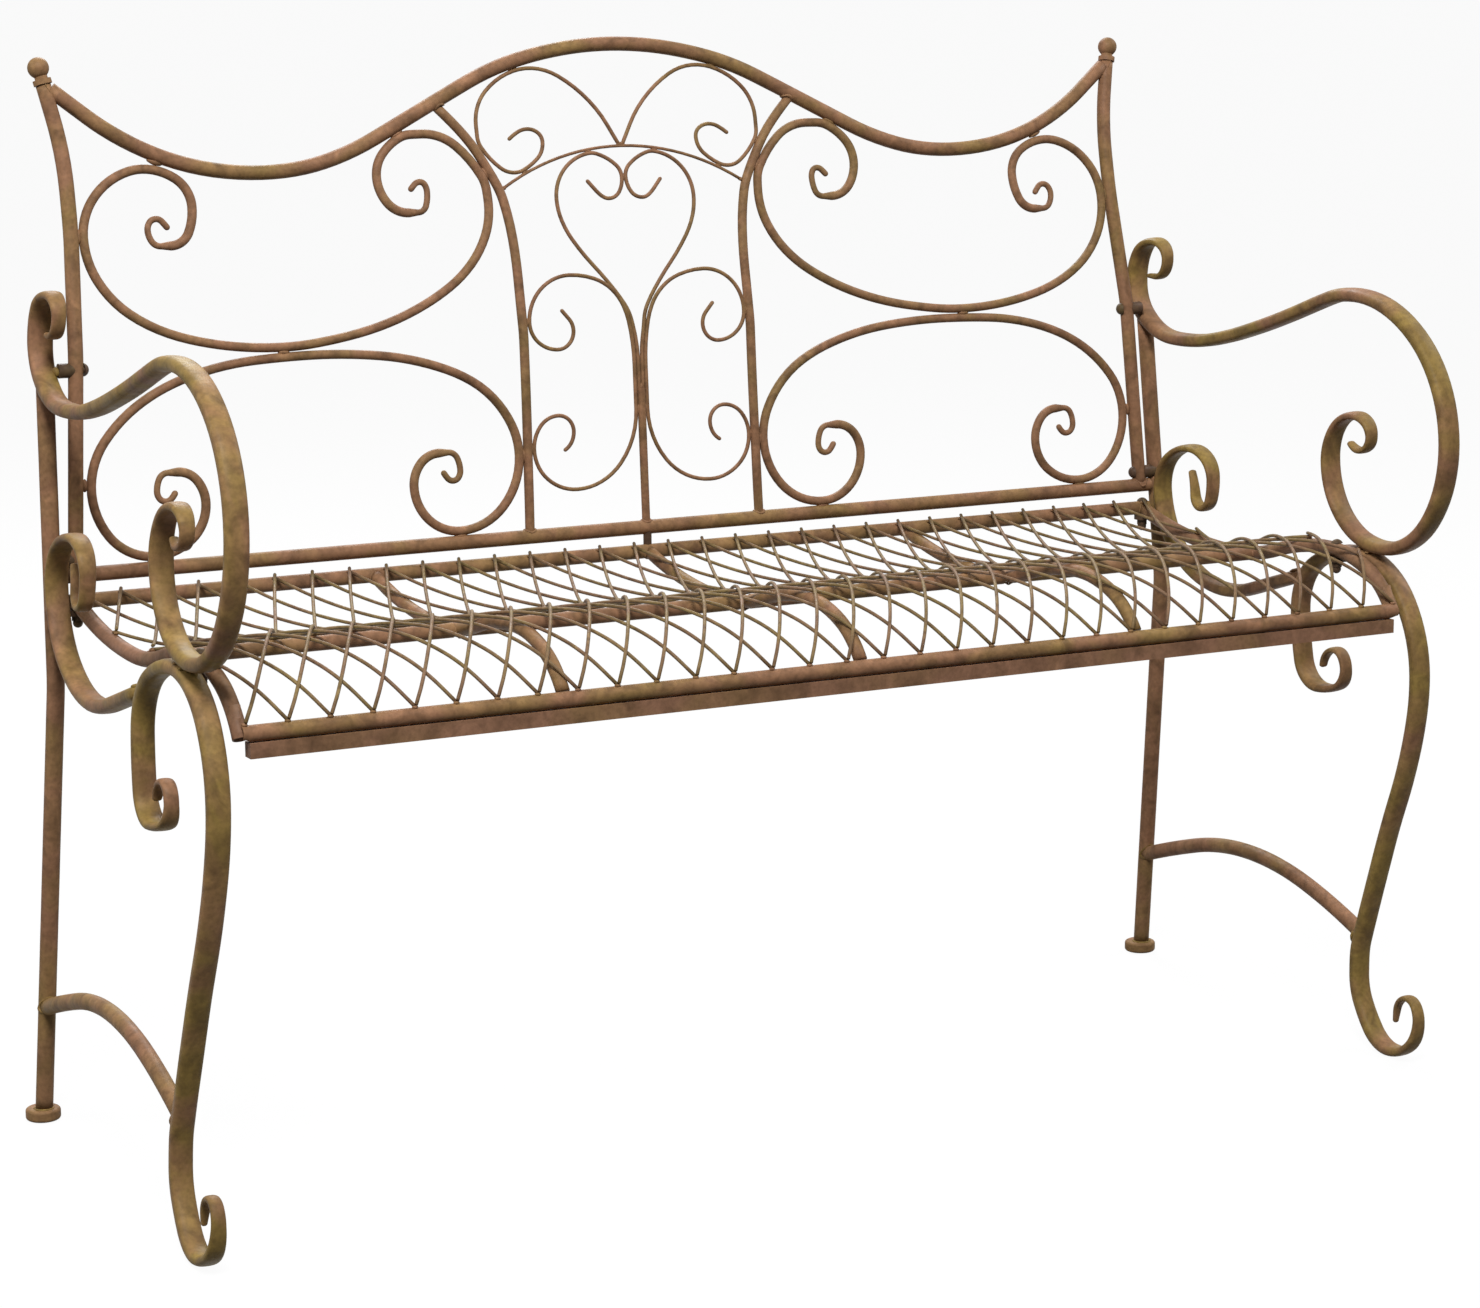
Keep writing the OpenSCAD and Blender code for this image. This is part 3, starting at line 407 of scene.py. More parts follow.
for entry in frame["record"]["subparts"]:
    node = frame["nodes"][entry["node"]]
    node.data.materials.clear()
    node.data.materials.append(PAINTS[entry["material_slot"]])
frame["nodes"]["seat_front_bar"].data.materials[0] = RAIL

# Back panel.


def fold_cut(a):
    """How much of a rod at heading a the bend at the fold takes from each side of it."""
    turn = math.radians(a)
    c = math.cos(turn) ** 2 + math.sin(turn) ** 2 * math.cos(UPPER_TILT - LOWER_TILT)
    return FOLD_R * math.tan(math.acos(c) / 2)


def below_fold(x, a):
    return along((x, 0, a), -fold_cut(a))


def above_fold(x, a):
    return along((x, 0, a), fold_cut(a))


def fold_rings(a, b, d, sides, sign):
    """Rings that carry a rod round the fold, from knot a in the lower plane to knot b in the upper."""
    rings = []
    for i in range(1, 6):
        f = i / 6
        tilt = LOWER_TILT + f * (UPPER_TILT - LOWER_TILT)
        start = Vector(on_back(LOWER_TILT)(a[0], a[1], 0))
        end = Vector(on_back(UPPER_TILT)(b[0], b[1], 0))
        corner = Vector(on_back(LOWER_TILT)((a[0] + b[0]) / 2, 0, 0))
        mid = start.lerp(corner, f).lerp(corner.lerp(end, f), f)
        g = (0, 0, a[2] + f * (b[2] - a[2]), d, d)
        ring = []
        for p in round_ring(g, sides, lambda x, y, z: (x, y, z)):
            ring.append((
                sign * (mid[0] + p[0]),
                mid[1] + p[1] * math.sin(tilt) - p[2] * math.cos(tilt),
                mid[2] + p[1] * math.cos(tilt) + p[2] * math.sin(tilt),
            ))
        rings.append(ring)
    return rings


def folded_rod(name, low_knots, high_knots, d, sign, slot, paint, *nodes, sides=16, seed=0, end=True):
    lower = rounded_ends(stations(with_d(low_knots, d)), True, False)
    upper = rounded_ends(stations(with_d(high_knots, d)), False, end)
    rings = [round_ring(g, sides, on_back(LOWER_TILT, sign)) for g in uneven(lower, seed)]
    rings += fold_rings(low_knots[-1], high_knots[0], d, sides, sign)
    rings += [round_ring(g, sides, on_back(UPPER_TILT, sign)) for g in uneven(upper, seed + 1)]
    return finished(swept(rings), name, slot, paint, *nodes)


UPRIGHT_LOW = [
    low(561.7, 514.8, 90 + UPRIGHT_LEAN),
    below_fold(UPRIGHT_X, 90 + UPRIGHT_LEAN),
]
UPRIGHT_HIGH = [
    above_fold(UPRIGHT_X, 90 + UPRIGHT_LEAN),
    up(544.3, 790, 90 + UPRIGHT_LEAN),
    up(543, 845, 90),
    up(549.8, 910, 78.5),
    up(554.8, 935, 78.5),
]
TOP_RAIL = [
    up(0, 962, 0),
    up(100, 948.5, -15.3),
    up(200, 905, -27.2),
    up(300, 861, -15.5),
    up(360, 853.3, 0),
    up(450, 868.6, 20.5),
    up(505, 896.8, 34.5),
    up(532, 917.4, 38.5),
    up(549, 931, 38.5),
]
INNER_LOW = [low(121.5, 513, 91.5), low(120, 600, 91), below_fold(INNER_X, 90)]
INNER_HIGH = [
    above_fold(INNER_X, 90),
    up(INNER_X, 750, 90),
    up(126.3, 819.6, 77),
    up(139, 848.8, 61),
    up(158.6, 879.4, 51.5),
    up(184, 906.6, 45),
]


def under_top_rail(x, d):
    return beside(knot_at(TOP_RAIL, 0, x), -(RAIL_D + d) / 2 - TOUCH)


def inner_at(z, upper):
    return knot_at(INNER_HIGH, 1, up(0, z, 0)[1]) if upper else knot_at(INNER_LOW, 1, low(0, z, 0)[1])


def right_of_inner(z, d, upper):
    return beside(inner_at(z, upper), -(INNER_D + d) / 2 - TOUCH)


def left_of_inner(z, d, upper):
    return beside(inner_at(z, upper), (INNER_D + d) / 2 + TOUCH)


def on_bottom_rail(x, a, d):
    k = low(x, BOTTOM_RAIL_Z, a)
    return (k[0], k[1] + (RAIL_D + d) / 2 + TOUCH, a)


both_halves = [(-k[0], k[1], -k[2]) for k in reversed(TOP_RAIL[1:])] + TOP_RAIL
rod("top_rail_round", stations(with_d(both_halves, RAIL_D), 4), on_back(UPPER_TILT), "tube_paint", TUBE,
    "back_top_rail", sides=24)


def uprights(word, sign):
    folded_rod(f"upright_round_{word}", UPRIGHT_LOW, UPRIGHT_HIGH, RAIL_D, sign, "tube_paint", TUBE,
               f"back_upright_{word}", sides=24, seed=sign, end=False)
    folded_rod(f"inner_vertical_round_{word}", INNER_LOW, INNER_HIGH, INNER_D, sign, "rod_paint", ROD,
               f"inner_vertical_{word}", sides=20, seed=3 + sign, end=False)


both_sides(uprights)

SCROLL_REACH = (RAIL_D + SCROLL_D) / 2 + TOUCH
TIP_D = 0.68 * SCROLL_D
TAPER = 9
LOWER_CREST = low(330, 689.4, 0)
LOWER_SCROLL = [
    turned(low(210, 592.5, 180)),
    low(236.4, 563.5, 270),
    on_bottom_rail(192, 180, SCROLL_D),
    right_of_inner(584, SCROLL_D, False),
    low(153, 639.8, 47),
    low(198.8, 669, 21),
    LOWER_CREST,
    low(440.8, 678.4, -15.3),
    low(497.7, 652.9, -34.5),
    turned(beside(knot_at(UPRIGHT_LOW, 1, low(0, 586, 0)[1]), SCROLL_REACH + 3)),
    on_bottom_rail(488, 180, SCROLL_D),
    low(438, 563, 90),
    low(463, 592.5, 0),
]
LOWER_START = [low(189.5, 575, 270), low(197, 566, 0), low(206, 573.5, 60)]
LOWER_END = [low(483, 576, 270), low(475, 567, 180), low(466.5, 573.5, 120)]
UPPER_SCROLL = [
    up(222, 812.5, 0),
    up(250.4, 845, 90),
    turned(under_top_rail(230, SCROLL_D)),
    up(201, 883.3, 180),
    turned(right_of_inner(848, SCROLL_D, True)),
    up(141.8, 818, 270),
    up(165.3, 763.4, -47.5),
    up(215.4, 729, -25.8),
    up(291.2, 705, -10.3),
    (357, LOWER_CREST[1] + SCROLL_D + TOUCH, 0),
    up(444.6, 709.5, 15.5),
    up(497.3, 734.2, 37),
    beside(knot_at(UPRIGHT_HIGH, 1, up(0, 803, 0)[1]), SCROLL_REACH),
    up(496.9, 854, 154),
    up(473, 859.9, 180),
    up(429.7, 826, 270),
    up(453, 792, 0),
]
UPPER_START = [up(202, 831, 90), up(208.5, 840, 0), up(217.5, 834, -50)]
UPPER_END = [up(473, 806, 90), up(464.5, 816, 180), up(455, 808.5, 235)]


def drawn_end(k, rest):
    """The thin end of a scroll rod, after a short taper from knot k."""
    return with_d([along(k, TAPER)] + rest, TIP_D)


def scroll_line(first, line, last):
    start = backwards(drawn_end(turned(line[0]), first))
    knots = start + with_d(line, SCROLL_D) + drawn_end(line[-1], last)
    return rounded_ends(stations(knots, 6, 10))


def scrolls(word, sign):
    rod(f"lower_scroll_round_{word}", scroll_line(LOWER_START, LOWER_SCROLL, LOWER_END),
        on_back(LOWER_TILT, sign), "rod_paint", ROD, f"lower_scroll_{word}", sides=18, seed=11 + sign)
    rod(f"upper_scroll_round_{word}", scroll_line(UPPER_START, UPPER_SCROLL, UPPER_END),
        on_back(UPPER_TILT, sign), "rod_paint", ROD, f"upper_scroll_{word}", sides=18, seed=15 + sign)


both_sides(scrolls)

# Middle panel.

ARC_HALF = [up(0, 867, 0), up(124, 832, -32)]
rod("center_arc_round",
    stations(with_d([(-k[0], k[1], -k[2]) for k in reversed(ARC_HALF[1:])] + ARC_HALF, ARC_D), 4),
    on_back(UPPER_TILT), "rod_paint", ROD, "center_arc", sides=12)
HALF_FINE = FINE_D / 2 + 0.1
HEART_LOW = [
    (HALF_FINE, low(0, 640.2, 0)[1], 90),
    (HALF_FINE, low(0, 652, 0)[1], 90),
    below_fold(HALF_FINE + 3.2, 80),
]
HEART_HIGH = [
    above_fold(HALF_FINE + 3.2, 80),
    up(21, 733, 54),
    up(60, 782, 57),
    up(72, 819, 90),
    turned(beside(knot_at(ARC_HALF, 0, 35), -(ARC_D + FINE_D) / 2 - TOUCH)),
    up(18, 857, 207),
    (HALF_FINE, up(0, 838, 0)[1], 270),
    up(17.5, 818.5, 0),
    up(26, 822, 40),
    up(38, 835, 47),
]
CENTER_SCROLL = [
    low(79, 717, 226),
    low(68, 698, 270),
    low(84.5, 681.2, 0),
    (INNER_X - (INNER_D + FINE_D) / 2, low(0, 708, 0)[1], 90),
    low(70.5, 750, 180),
    low(23, 731, 229),
    low(10.2, 704, 258),
    ((STEM_D + FINE_D) / 2 + TOUCH, low(0, 621, 0)[1], 270),
    low(70.5, 549, 0),
    left_of_inner(590, FINE_D, False),
    low(87.5, 619.5, 180),
    low(72, 604, 270),
    low(81.5, 587, 330),
]
VOLUTE = [
    turned(beside(knot_at(ARC_HALF, 0, 3), (ARC_D + FINE_D) / 2 + TOUCH), 62),
    up(22, 902, 52),
    under_top_rail(106, FINE_D),
    up(146.5, 890, 270),
    turned(left_of_inner(866, FINE_D, True)),
    turned(beside(knot_at(ARC_HALF, 0, 101), (ARC_D + FINE_D) / 2 + TOUCH)),
    up(80.5, 873, 90),
    up(95, 885, 0),
    up(114, 876.5, -40),
]


def middle_panel(word, sign):
    folded_rod(f"heart_rod_round_{word}", HEART_LOW, HEART_HIGH, FINE_D, sign, "rod_paint", ROD,
               f"heart_rod_{word}", sides=12, seed=20 + sign)
    rod(f"center_scroll_round_{word}", rounded_ends(stations(with_d(CENTER_SCROLL, FINE_D), 7)),
        on_back(LOWER_TILT, sign), "rod_paint", ROD, f"center_scroll_{word}", sides=12, seed=24 + sign)
    rod(f"top_volute_round_{word}", rounded_ends(stations(with_d(VOLUTE, FINE_D), 7)),
        on_back(UPPER_TILT, sign), "rod_paint", ROD, f"top_volute_{word}", sides=12, seed=28 + sign)


both_sides(middle_panel)

# Side frames.


def drawn(k, w, t):
    """A station of the flattened tube, with its width and thickness as shares of the full ones."""
    return (*k[:3], w * STRIP_W, t * STRIP_T)


def full(*k):
    return drawn(k, 1, 1)


def flat(*k):
    return drawn(k, 1.07, 0.62)


def mid(*k):
    return drawn(k, 0.88, 0.6)


def slim(*k):
    return drawn(k, 0.65, 0.46)


def tip(*k):
    return drawn(k, 0.42, 0.36)


CURL_WELD = (-401, 489.1, 10)
LEG_WELD = turned(beside(CURL_WELD, -(STRIP_T + TOUCH) / 2))
ARM_WELD = beside(CURL_WELD, (STRIP_T + TOUCH) / 2)
ARM = [
    tip(-38, 721.5, 180),
    slim(-51, 721.5, 180),
    slim(-69.5, 741, 90),
    mid(-50, 757, 0),
    drawn((-26, 747.5, -48), 1.14, 0.66),
    drawn((-13.5, 713, 270), 1.14, 0.95),
    full(-59, 665, 196),
    full(-105, 661.5, 178),
    full(-200, 677.5, 165),
    full(-300, 708, 161),
    full(-345, 723, 163),
    full(-384, 728, 180),
    full(-519.4, 602, 270),
    full(-421, 493.8, 0),
    full(*ARM_WELD),
    flat(-340.5, 568, 90),
    mid(-383, 614.5, 180),
    slim(-404.5, 597, 270),
    slim(-387, 582, 0),
    tip(-373, 587, 35),
]
FRONT_LEG = [
    tip(-328, 366, 101),
    slim(-350, 384, 180),
    slim(-364, 367, 270),
    flat(-325, 343, 0),
    full(-291.5, 415, 90),
    full(-385, 484, 180),
    full(*LEG_WELD),
    full(-477, 380, 270),
    full(-464.5, 308, -73),
    full(-422.7, 200, -69.8),
    full(-388, 104, -71),
    full(-383.7, 68, -90),
    full(-405, 19.6, -130),
    drawn((-434, 5.5, 180), 1, 0.8),
    slim(-476, 45, 90),
    drawn((-462, 63.5, 0), 0.57, 0.44),
    drawn((-443, 47, -80), 0.4, 0.38),
    drawn((-441, 37, -82), 0.28, 0.36),
]
S_WELD_Z = 500
STRETCHER_Z = 109
UPPER_BOSS_Z = 688
REAR_LEG = [(-2.9, FOOT_H, 96.83), (-49.6, 400.8, 96.83), (-49.9, 426.2, 84.7), (-28, 663, 84.7)]


def rear_leg_at(z):
    return knot_at(REAR_LEG, 1, z)


S_SCROLL = [
    tip(-109, 528, 250),
    drawn((-127, 493.5, 180), 0.72, 0.5),
    drawn((-145.5, 525, 90), 0.75, 0.5),
    drawn((-112, 552.5, 0), 0.95, 0.6),
    flat(*turned(beside(rear_leg_at(S_WELD_Z), (LEG_D + 0.62 * STRIP_T) / 2 + TOUCH))),
    full(-165, 416, 180),
    full(-210, 423, 163),
    full(-286, 446.6, 163),
]
STRETCHER = [turned(rear_leg_at(STRETCHER_Z), 64), (-205, 151.5, 180), (-389, 110.5, 202)]


def strip(name, knots, sign, seed, *nodes):
    line = uneven(rounded_ends(stations(knots, 5, 10)), seed, 0.02)
    rings = [strip_ring(g, 28, on_side(sign)) for g in line]
    finished(swept(rings), name, "strip_paint", STRIP, *nodes)


def arm_over(across):
    """How far up the rear leg's top line the middle of the arm lies, at a distance across the leg."""
    foot = REAR_LEG[-1]
    a = math.radians(foot[2])
    seen = []
    for g in stations(ARM[5:7], 3, 3):
        dx, dy = g[0] - foot[0], g[1] - foot[1]
        seen.append((dy * math.cos(a) - dx * math.sin(a), dx * math.cos(a) + dy * math.sin(a)))
    return min(seen, key=lambda q: abs(q[0] - across))[1]


def rear_leg(word, sign):
    """The leg reaches up into the arm, as far as the arm's middle line."""
    line = stations(with_d(REAR_LEG, LEG_D), 3)
    sides = 28
    rings = [round_ring(g, sides, on_side(sign)) for g in uneven(line, 43 + sign)]
    top = []
    for i in range(sides):
        a = 2 * math.pi * i / sides
        across = LEG_D / 2 * math.cos(a)
        k = along(beside(REAR_LEG[-1], across), arm_over(across))
        top.append(on_side(sign)(k[0], k[1], LEG_D / 2 * math.sin(a)))
    finished(swept([*rings[:-1], top]), f"rear_leg_round_{word}", "tube_paint", TUBE, f"rear_leg_{word}")


def side_frame(word, sign):
    strip(f"arm_smooth_{word}", ARM, sign, 31 + sign, f"arm_{word}")
    strip(f"front_leg_smooth_{word}", FRONT_LEG, sign, 35 + sign, f"front_leg_{word}")
    strip(f"s_scroll_smooth_{word}", S_SCROLL, sign, 39 + sign, f"s_scroll_{word}")
    rear_leg(word, sign)
    rod(f"stretcher_round_{word}", stations(with_d(STRETCHER, STRETCHER_D), 3), on_side(sign),
        "tube_paint", TUBE, f"stretcher_{word}", sides=24, seed=47 + sign)


both_sides(side_frame)

# Seat panel.

SEAT_X = 563
MEMBER_X = (-281, 0, 281)
SEAT_LINE = [(48, 485, -17), (205, 462.5, 0), (368, 487.8, 0), (466, 438, -62)]
SEAT_FRONT = (468, 442.5)
MEMBER_D = RAIL_D - 1.5
MIDDLE_RAIL_AT = 245
SIDE_RAIL_START = 6.5
MEMBER_START = 5.5
MEMBER_STOP = 5
BORE_DEPTH = 28
MEMBER_LINE = [beside(k, (RAIL_D - MEMBER_D) / 2 - TOUCH) for k in SEAT_LINE]
WIRE_HALF_X = SEAT_X - 2
# Over the whole width there are BAYS wires of a layer, and each moves sideways by SHIFT bays.
BAYS = 31
PITCH = 2 * (SEAT_X - RAIL_D / 5) / BAYS
SHIFT = 5
WIRE_GAP = 0.1
WIRE_REAR_A = 42
SPREAD = 0.095
SPREAD_ON = 0.29


def open_end(line, depth, bore):
    """Carries a tube's wall round its rim and back down inside."""
    k = line[-1]
    rim = (k[3] + bore) / 2
    out = list(line[:-1])
    out.append((*along(k, -0.5), k[3], k[4]))
    out.append((*along(k, -0.1), k[3] - 0.6, k[4] - 0.6))
    out.append((*k[:3], rim, rim))
    out.append((*along(k, -0.3), bore, bore))
    out.append((*along(k, -depth), bore, bore))
    return out


def side_rails(word, sign):
    line = stations(with_d(SEAT_LINE, RAIL_D), 4)
    line[0] = (*along(line[0], SIDE_RAIL_START), RAIL_D, RAIL_D)
    line = open_end(line, BORE_DEPTH, RAIL_D - 2 * WALL)
    rings = [round_ring(g, 24, on_seat(sign * SEAT_X)) for g in line]
    finished(swept(rings), f"side_rail_round_{word}", "tube_paint", RAIL, f"seat_side_rail_{word}")


both_sides(side_rails)


def cross_members():
    verts, faces = [], []
    for x in MEMBER_X:
        line = stations(with_d(MEMBER_LINE, MEMBER_D), 4)
        line[0] = (*along(line[0], MEMBER_START), MEMBER_D, MEMBER_D)
        line = [g for g in line if math.hypot(g[0] - SEAT_FRONT[0], g[1] - SEAT_FRONT[1]) > MEMBER_STOP]
        v, f = swept([round_ring(g, 24, on_seat(x)) for g in line], len(verts))
        verts += v
        faces += f
    finished((verts, faces), "cross_members_round", "tube_paint", TUBE, "seat_cross_members")


cross_members()


def reach_at(share):
    """How far a wire has moved sideways at a share of its length, and how fast it moves there."""
    spread = SPREAD + SPREAD_ON * share
    slope = 1 - (1 - 2 * share) * spread - share * (1 - share) * SPREAD_ON
    return share * (1 - (1 - share) * spread), slope


def wire_line():
    """The tops of the rails, from the rear rail to the front rail, as (forward, height, heading)."""
    r = RAIL_D / 2
    a = math.radians(WIRE_REAR_A)
    line = [(SEAT_LINE[0][0] + r * math.sin(a), SEAT_LINE[0][1] + r * math.cos(a), -14)]
    for g in stations(with_d(SEAT_LINE, RAIL_D), 3, 10):
        if SEAT_LINE[0][0] + 1.5 * RAIL_D < g[0] < SEAT_FRONT[0] - RAIL_D:
            line.append(beside(g, r))
    line.append((SEAT_FRONT[0], SEAT_FRONT[1] + r, -46))
    return line


def between_rails(points):
    """The part of a wire between the two side rails, cut where it meets them."""
    inside = [p for p in points if abs(p[0]) <= WIRE_HALF_X]
    if len(inside) < 4:
        return []
    first, last = points.index(inside[0]), points.index(inside[-1])
    for edge, at in ((first - 1, 0), (last + 1, len(inside) + 1)):
        if 0 <= edge < len(points):
            a, b = points[edge], inside[0] if at == 0 else inside[-1]
            f = (math.copysign(WIRE_HALF_X, a[0]) - a[0]) / (b[0] - a[0])
            k = tuple(u + f * (w - u) for u, w in zip(a[1], b[1]))
            inside.insert(at, (math.copysign(WIRE_HALF_X, a[0]), k, a[2]))
    return inside


def wire_ring(x, k, slope, lift, sign, sides=8):
    """The section of a wire that lies over knot k of the rails' tops and runs across them at a slope."""
    a = math.radians(k[2])
    t = Vector((slope, -math.cos(a), math.sin(a))).normalized()
    n = Vector((0, math.sin(a), math.cos(a)))
    c = Vector((x, -k[0] + FOOT_Y, k[1])) + lift * n
    b = t.cross(n)
    ring = []
    for j in range(sides):
        q = 2 * math.pi * j / sides
        p = c + WIRE_D / 2 * (math.cos(q) * n + math.sin(q) * b)
        ring.append((sign * p[0], p[1], p[2]))
    return ring


def wire_layer(lift, sign):
    line = wire_line()
    runs = [0]
    for a, b in zip(line, line[1:]):
        runs.append(runs[-1] + math.hypot(b[0] - a[0], b[1] - a[1]))
    whole = runs[-1]
    reach = SHIFT * PITCH
    verts, faces, ends = [], [], []
    for i in range(-(BAYS // 2) - SHIFT, BAYS // 2 + 1):
        rear_x = (i + 0.5) * PITCH
        points = []
        for k, s in zip(line, runs):
            share, slope = reach_at(s / whole)
            points.append((rear_x + reach * share, k, reach / whole * slope))
        inside = between_rails(points)
        if not inside:
            continue
        ends += [(sign * x, k) for x, k, _ in (inside[0], inside[-1])]
        v, f = swept([wire_ring(*p, lift, sign) for p in inside], len(verts))
        verts += v
        faces += f
    return verts, faces, ends


lower_verts, lower_faces, lower_ends = wire_layer(WIRE_D / 2 + WIRE_GAP, 1)
upper_verts, upper_faces, upper_ends = wire_layer(1.5 * WIRE_D + 2 * WIRE_GAP, -1)
finished((lower_verts, lower_faces), "wires_lower_round", "wire_paint", WIRE, "seat_wires_lower")
finished((upper_verts, upper_faces), "wires_upper_round", "wire_paint", WIRE, "seat_wires_upper")

# Weld beads: lumps of metal in the joints.

random.seed(7)


def lump(verts, faces, centre, axes, sizes, rings=6, sides=10):
    """An uneven ball of metal, with a radius along each of its three axes."""
    first = len(verts)
    seed = Vector((random.random() * 50, random.random() * 50, 0))
    for i in range(rings + 1):
        p = math.pi * i / rings
        for j in range(sides):
            q = 2 * math.pi * j / sides
            unit = Vector((math.cos(p), math.sin(p) * math.cos(q), math.sin(p) * math.sin(q)))
            swell = 1 + 0.22 * noise.noise(unit * 1.8 + seed)
            v = Vector(centre)
            for axis, size, share in zip(axes, sizes, unit):
                v += axis * (size * share * swell)
            verts.append(tuple(v))
    faces += [
        (first + i * sides + j, first + i * sides + (j + 1) % sides,
         first + (i + 1) * sides + (j + 1) % sides, first + (i + 1) * sides + j)
        for i in range(rings) for j in range(sides)
    ]


def collar(verts, faces, foot, up_axis, tube_axis, rod_r, tube_r, bead=1.5, sides=24, ring=6):
    """A bead round the end of a rod that stands on a tube, foot being on the tube's middle line."""
    first = len(verts)
    seed = Vector((random.random() * 50, 0, random.random() * 50))
    side_axis = up_axis.cross(tube_axis).normalized()
    for i in range(sides):
        a = 2 * math.pi * i / sides
        r = rod_r + 0.3 * bead
        out = tube_axis * math.cos(a) + side_axis * math.sin(a)
        across = r * math.sin(a)
        height = math.sqrt(max(0.0, tube_r ** 2 - across ** 2)) if tube_r else 0.0
        centre = foot + out * r + up_axis * height
        size = bead * (1 + 0.3 * noise.noise(out * 2.5 + seed))
        for j in range(ring):
            b = 2 * math.pi * j / ring
            verts.append(tuple(centre + out * (size * math.cos(b)) + up_axis * (size * math.sin(b))))
    faces += [
        (first + i * ring + j, first + i * ring + (j + 1) % ring,
         first + ((i + 1) % sides) * ring + (j + 1) % ring, first + ((i + 1) % sides) * ring + j)
        for i in range(sides) for j in range(ring)
    ]


X, Y, Z = Vector((1, 0, 0)), Vector((0, 1, 0)), Vector((0, 0, 1))


def back_axes(tilt, heading, sign):
    """Directions along and across a rod in a back plane, and out of that plane."""
    a = math.radians(heading)
    rise = Vector((0, math.sin(tilt), math.cos(tilt)))
    return (
        (X * sign * math.cos(a) + rise * math.sin(a)).normalized(),
        (-X * sign * math.sin(a) + rise * math.cos(a)).normalized(),
        Vector((0, -math.cos(tilt), math.sin(tilt))),
    )


def back_point(tilt, k, sign):
    return Vector(on_back(tilt, sign)(k[0], k[1], 0))


def side_point(y, z, sign, out=0.0):
    return Vector(on_side(sign)(y, z, out))


def side_axes(heading, sign):
    """Directions along and across a strip in a side plane, and out of that plane."""
    a = math.radians(heading)
    rise = Vector((-sign * math.sin(SIDE_LEAN), 0, math.cos(SIDE_LEAN)))
    return (
        (Y * math.cos(a) + rise * math.sin(a)).normalized(),
        (-Y * math.sin(a) + rise * math.cos(a)).normalized(),
        X,
    )


# Each weld bead of the back is a knot, a shift beside it, and half the bead's length and depth.
LOWER_WELDS = [
    (right_of_inner(584, SCROLL_D, False), SCROLL_D / 2, 6.5, 3.2),
    (on_bottom_rail(192, 180, SCROLL_D), SCROLL_D / 2, 7, 3.3),
    (on_bottom_rail(488, 180, SCROLL_D), SCROLL_D / 2, 7, 3.3),
    (beside(knot_at(UPRIGHT_LOW, 1, low(0, 587, 0)[1]), RAIL_D / 2 + 1.6), 0, 6, 3.3),
    (left_of_inner(590, FINE_D, False), -FINE_D / 2, 4, 1.7),
    ((INNER_X - (INNER_D + FINE_D) / 2, low(0, 708, 0)[1], 90), -FINE_D / 2, 4, 1.7),
    (((STEM_D + FINE_D) / 2 + TOUCH, low(0, 621, 0)[1], 90), FINE_D / 2, 5, 1.7),
]
UPPER_WELDS = [
    (under_top_rail(230, SCROLL_D), SCROLL_D / 2, 7, 3.3),
    (under_top_rail(458, SCROLL_D), SCROLL_D / 2, 7, 3.3),
    (right_of_inner(848, SCROLL_D, True), SCROLL_D / 2, 6.5, 3.2),
    ((357, LOWER_CREST[1] + SCROLL_D / 2, 0), 0, 6, 3.2),
    (beside(knot_at(UPRIGHT_HIGH, 1, up(0, 803, 0)[1]), RAIL_D / 2), 0, 6.5, 3.3),
    (under_top_rail(106, FINE_D), FINE_D / 2, 4.5, 1.8),
    (left_of_inner(866, FINE_D, True), -FINE_D / 2, 4, 1.7),
    (beside(knot_at(ARC_HALF, 0, 35), -ARC_D / 2), 0, 3.5, 1.5),
    (beside(knot_at(ARC_HALF, 0, 101), ARC_D / 2), 0, 3.5, 1.5),
]
# The beads on the middle line of the back: its plane, a knot and the bead's three radii.
CENTER_WELDS = [
    (UPPER_TILT, up(0, 838, 90), (3.5, 1.6, 1.6)),
    (UPPER_TILT, up(0, 869, 0), (5, 1.8, 1.8)),
    (LOWER_TILT, low(0, 641, 90), (4.5, 3.0, 2.2)),
]
INNER_FOOT_X = 121.5
UPRIGHT_FOOT_X = 561.9
INNER_TOP_X = 187
TOP_RAIL_END_Z = 934


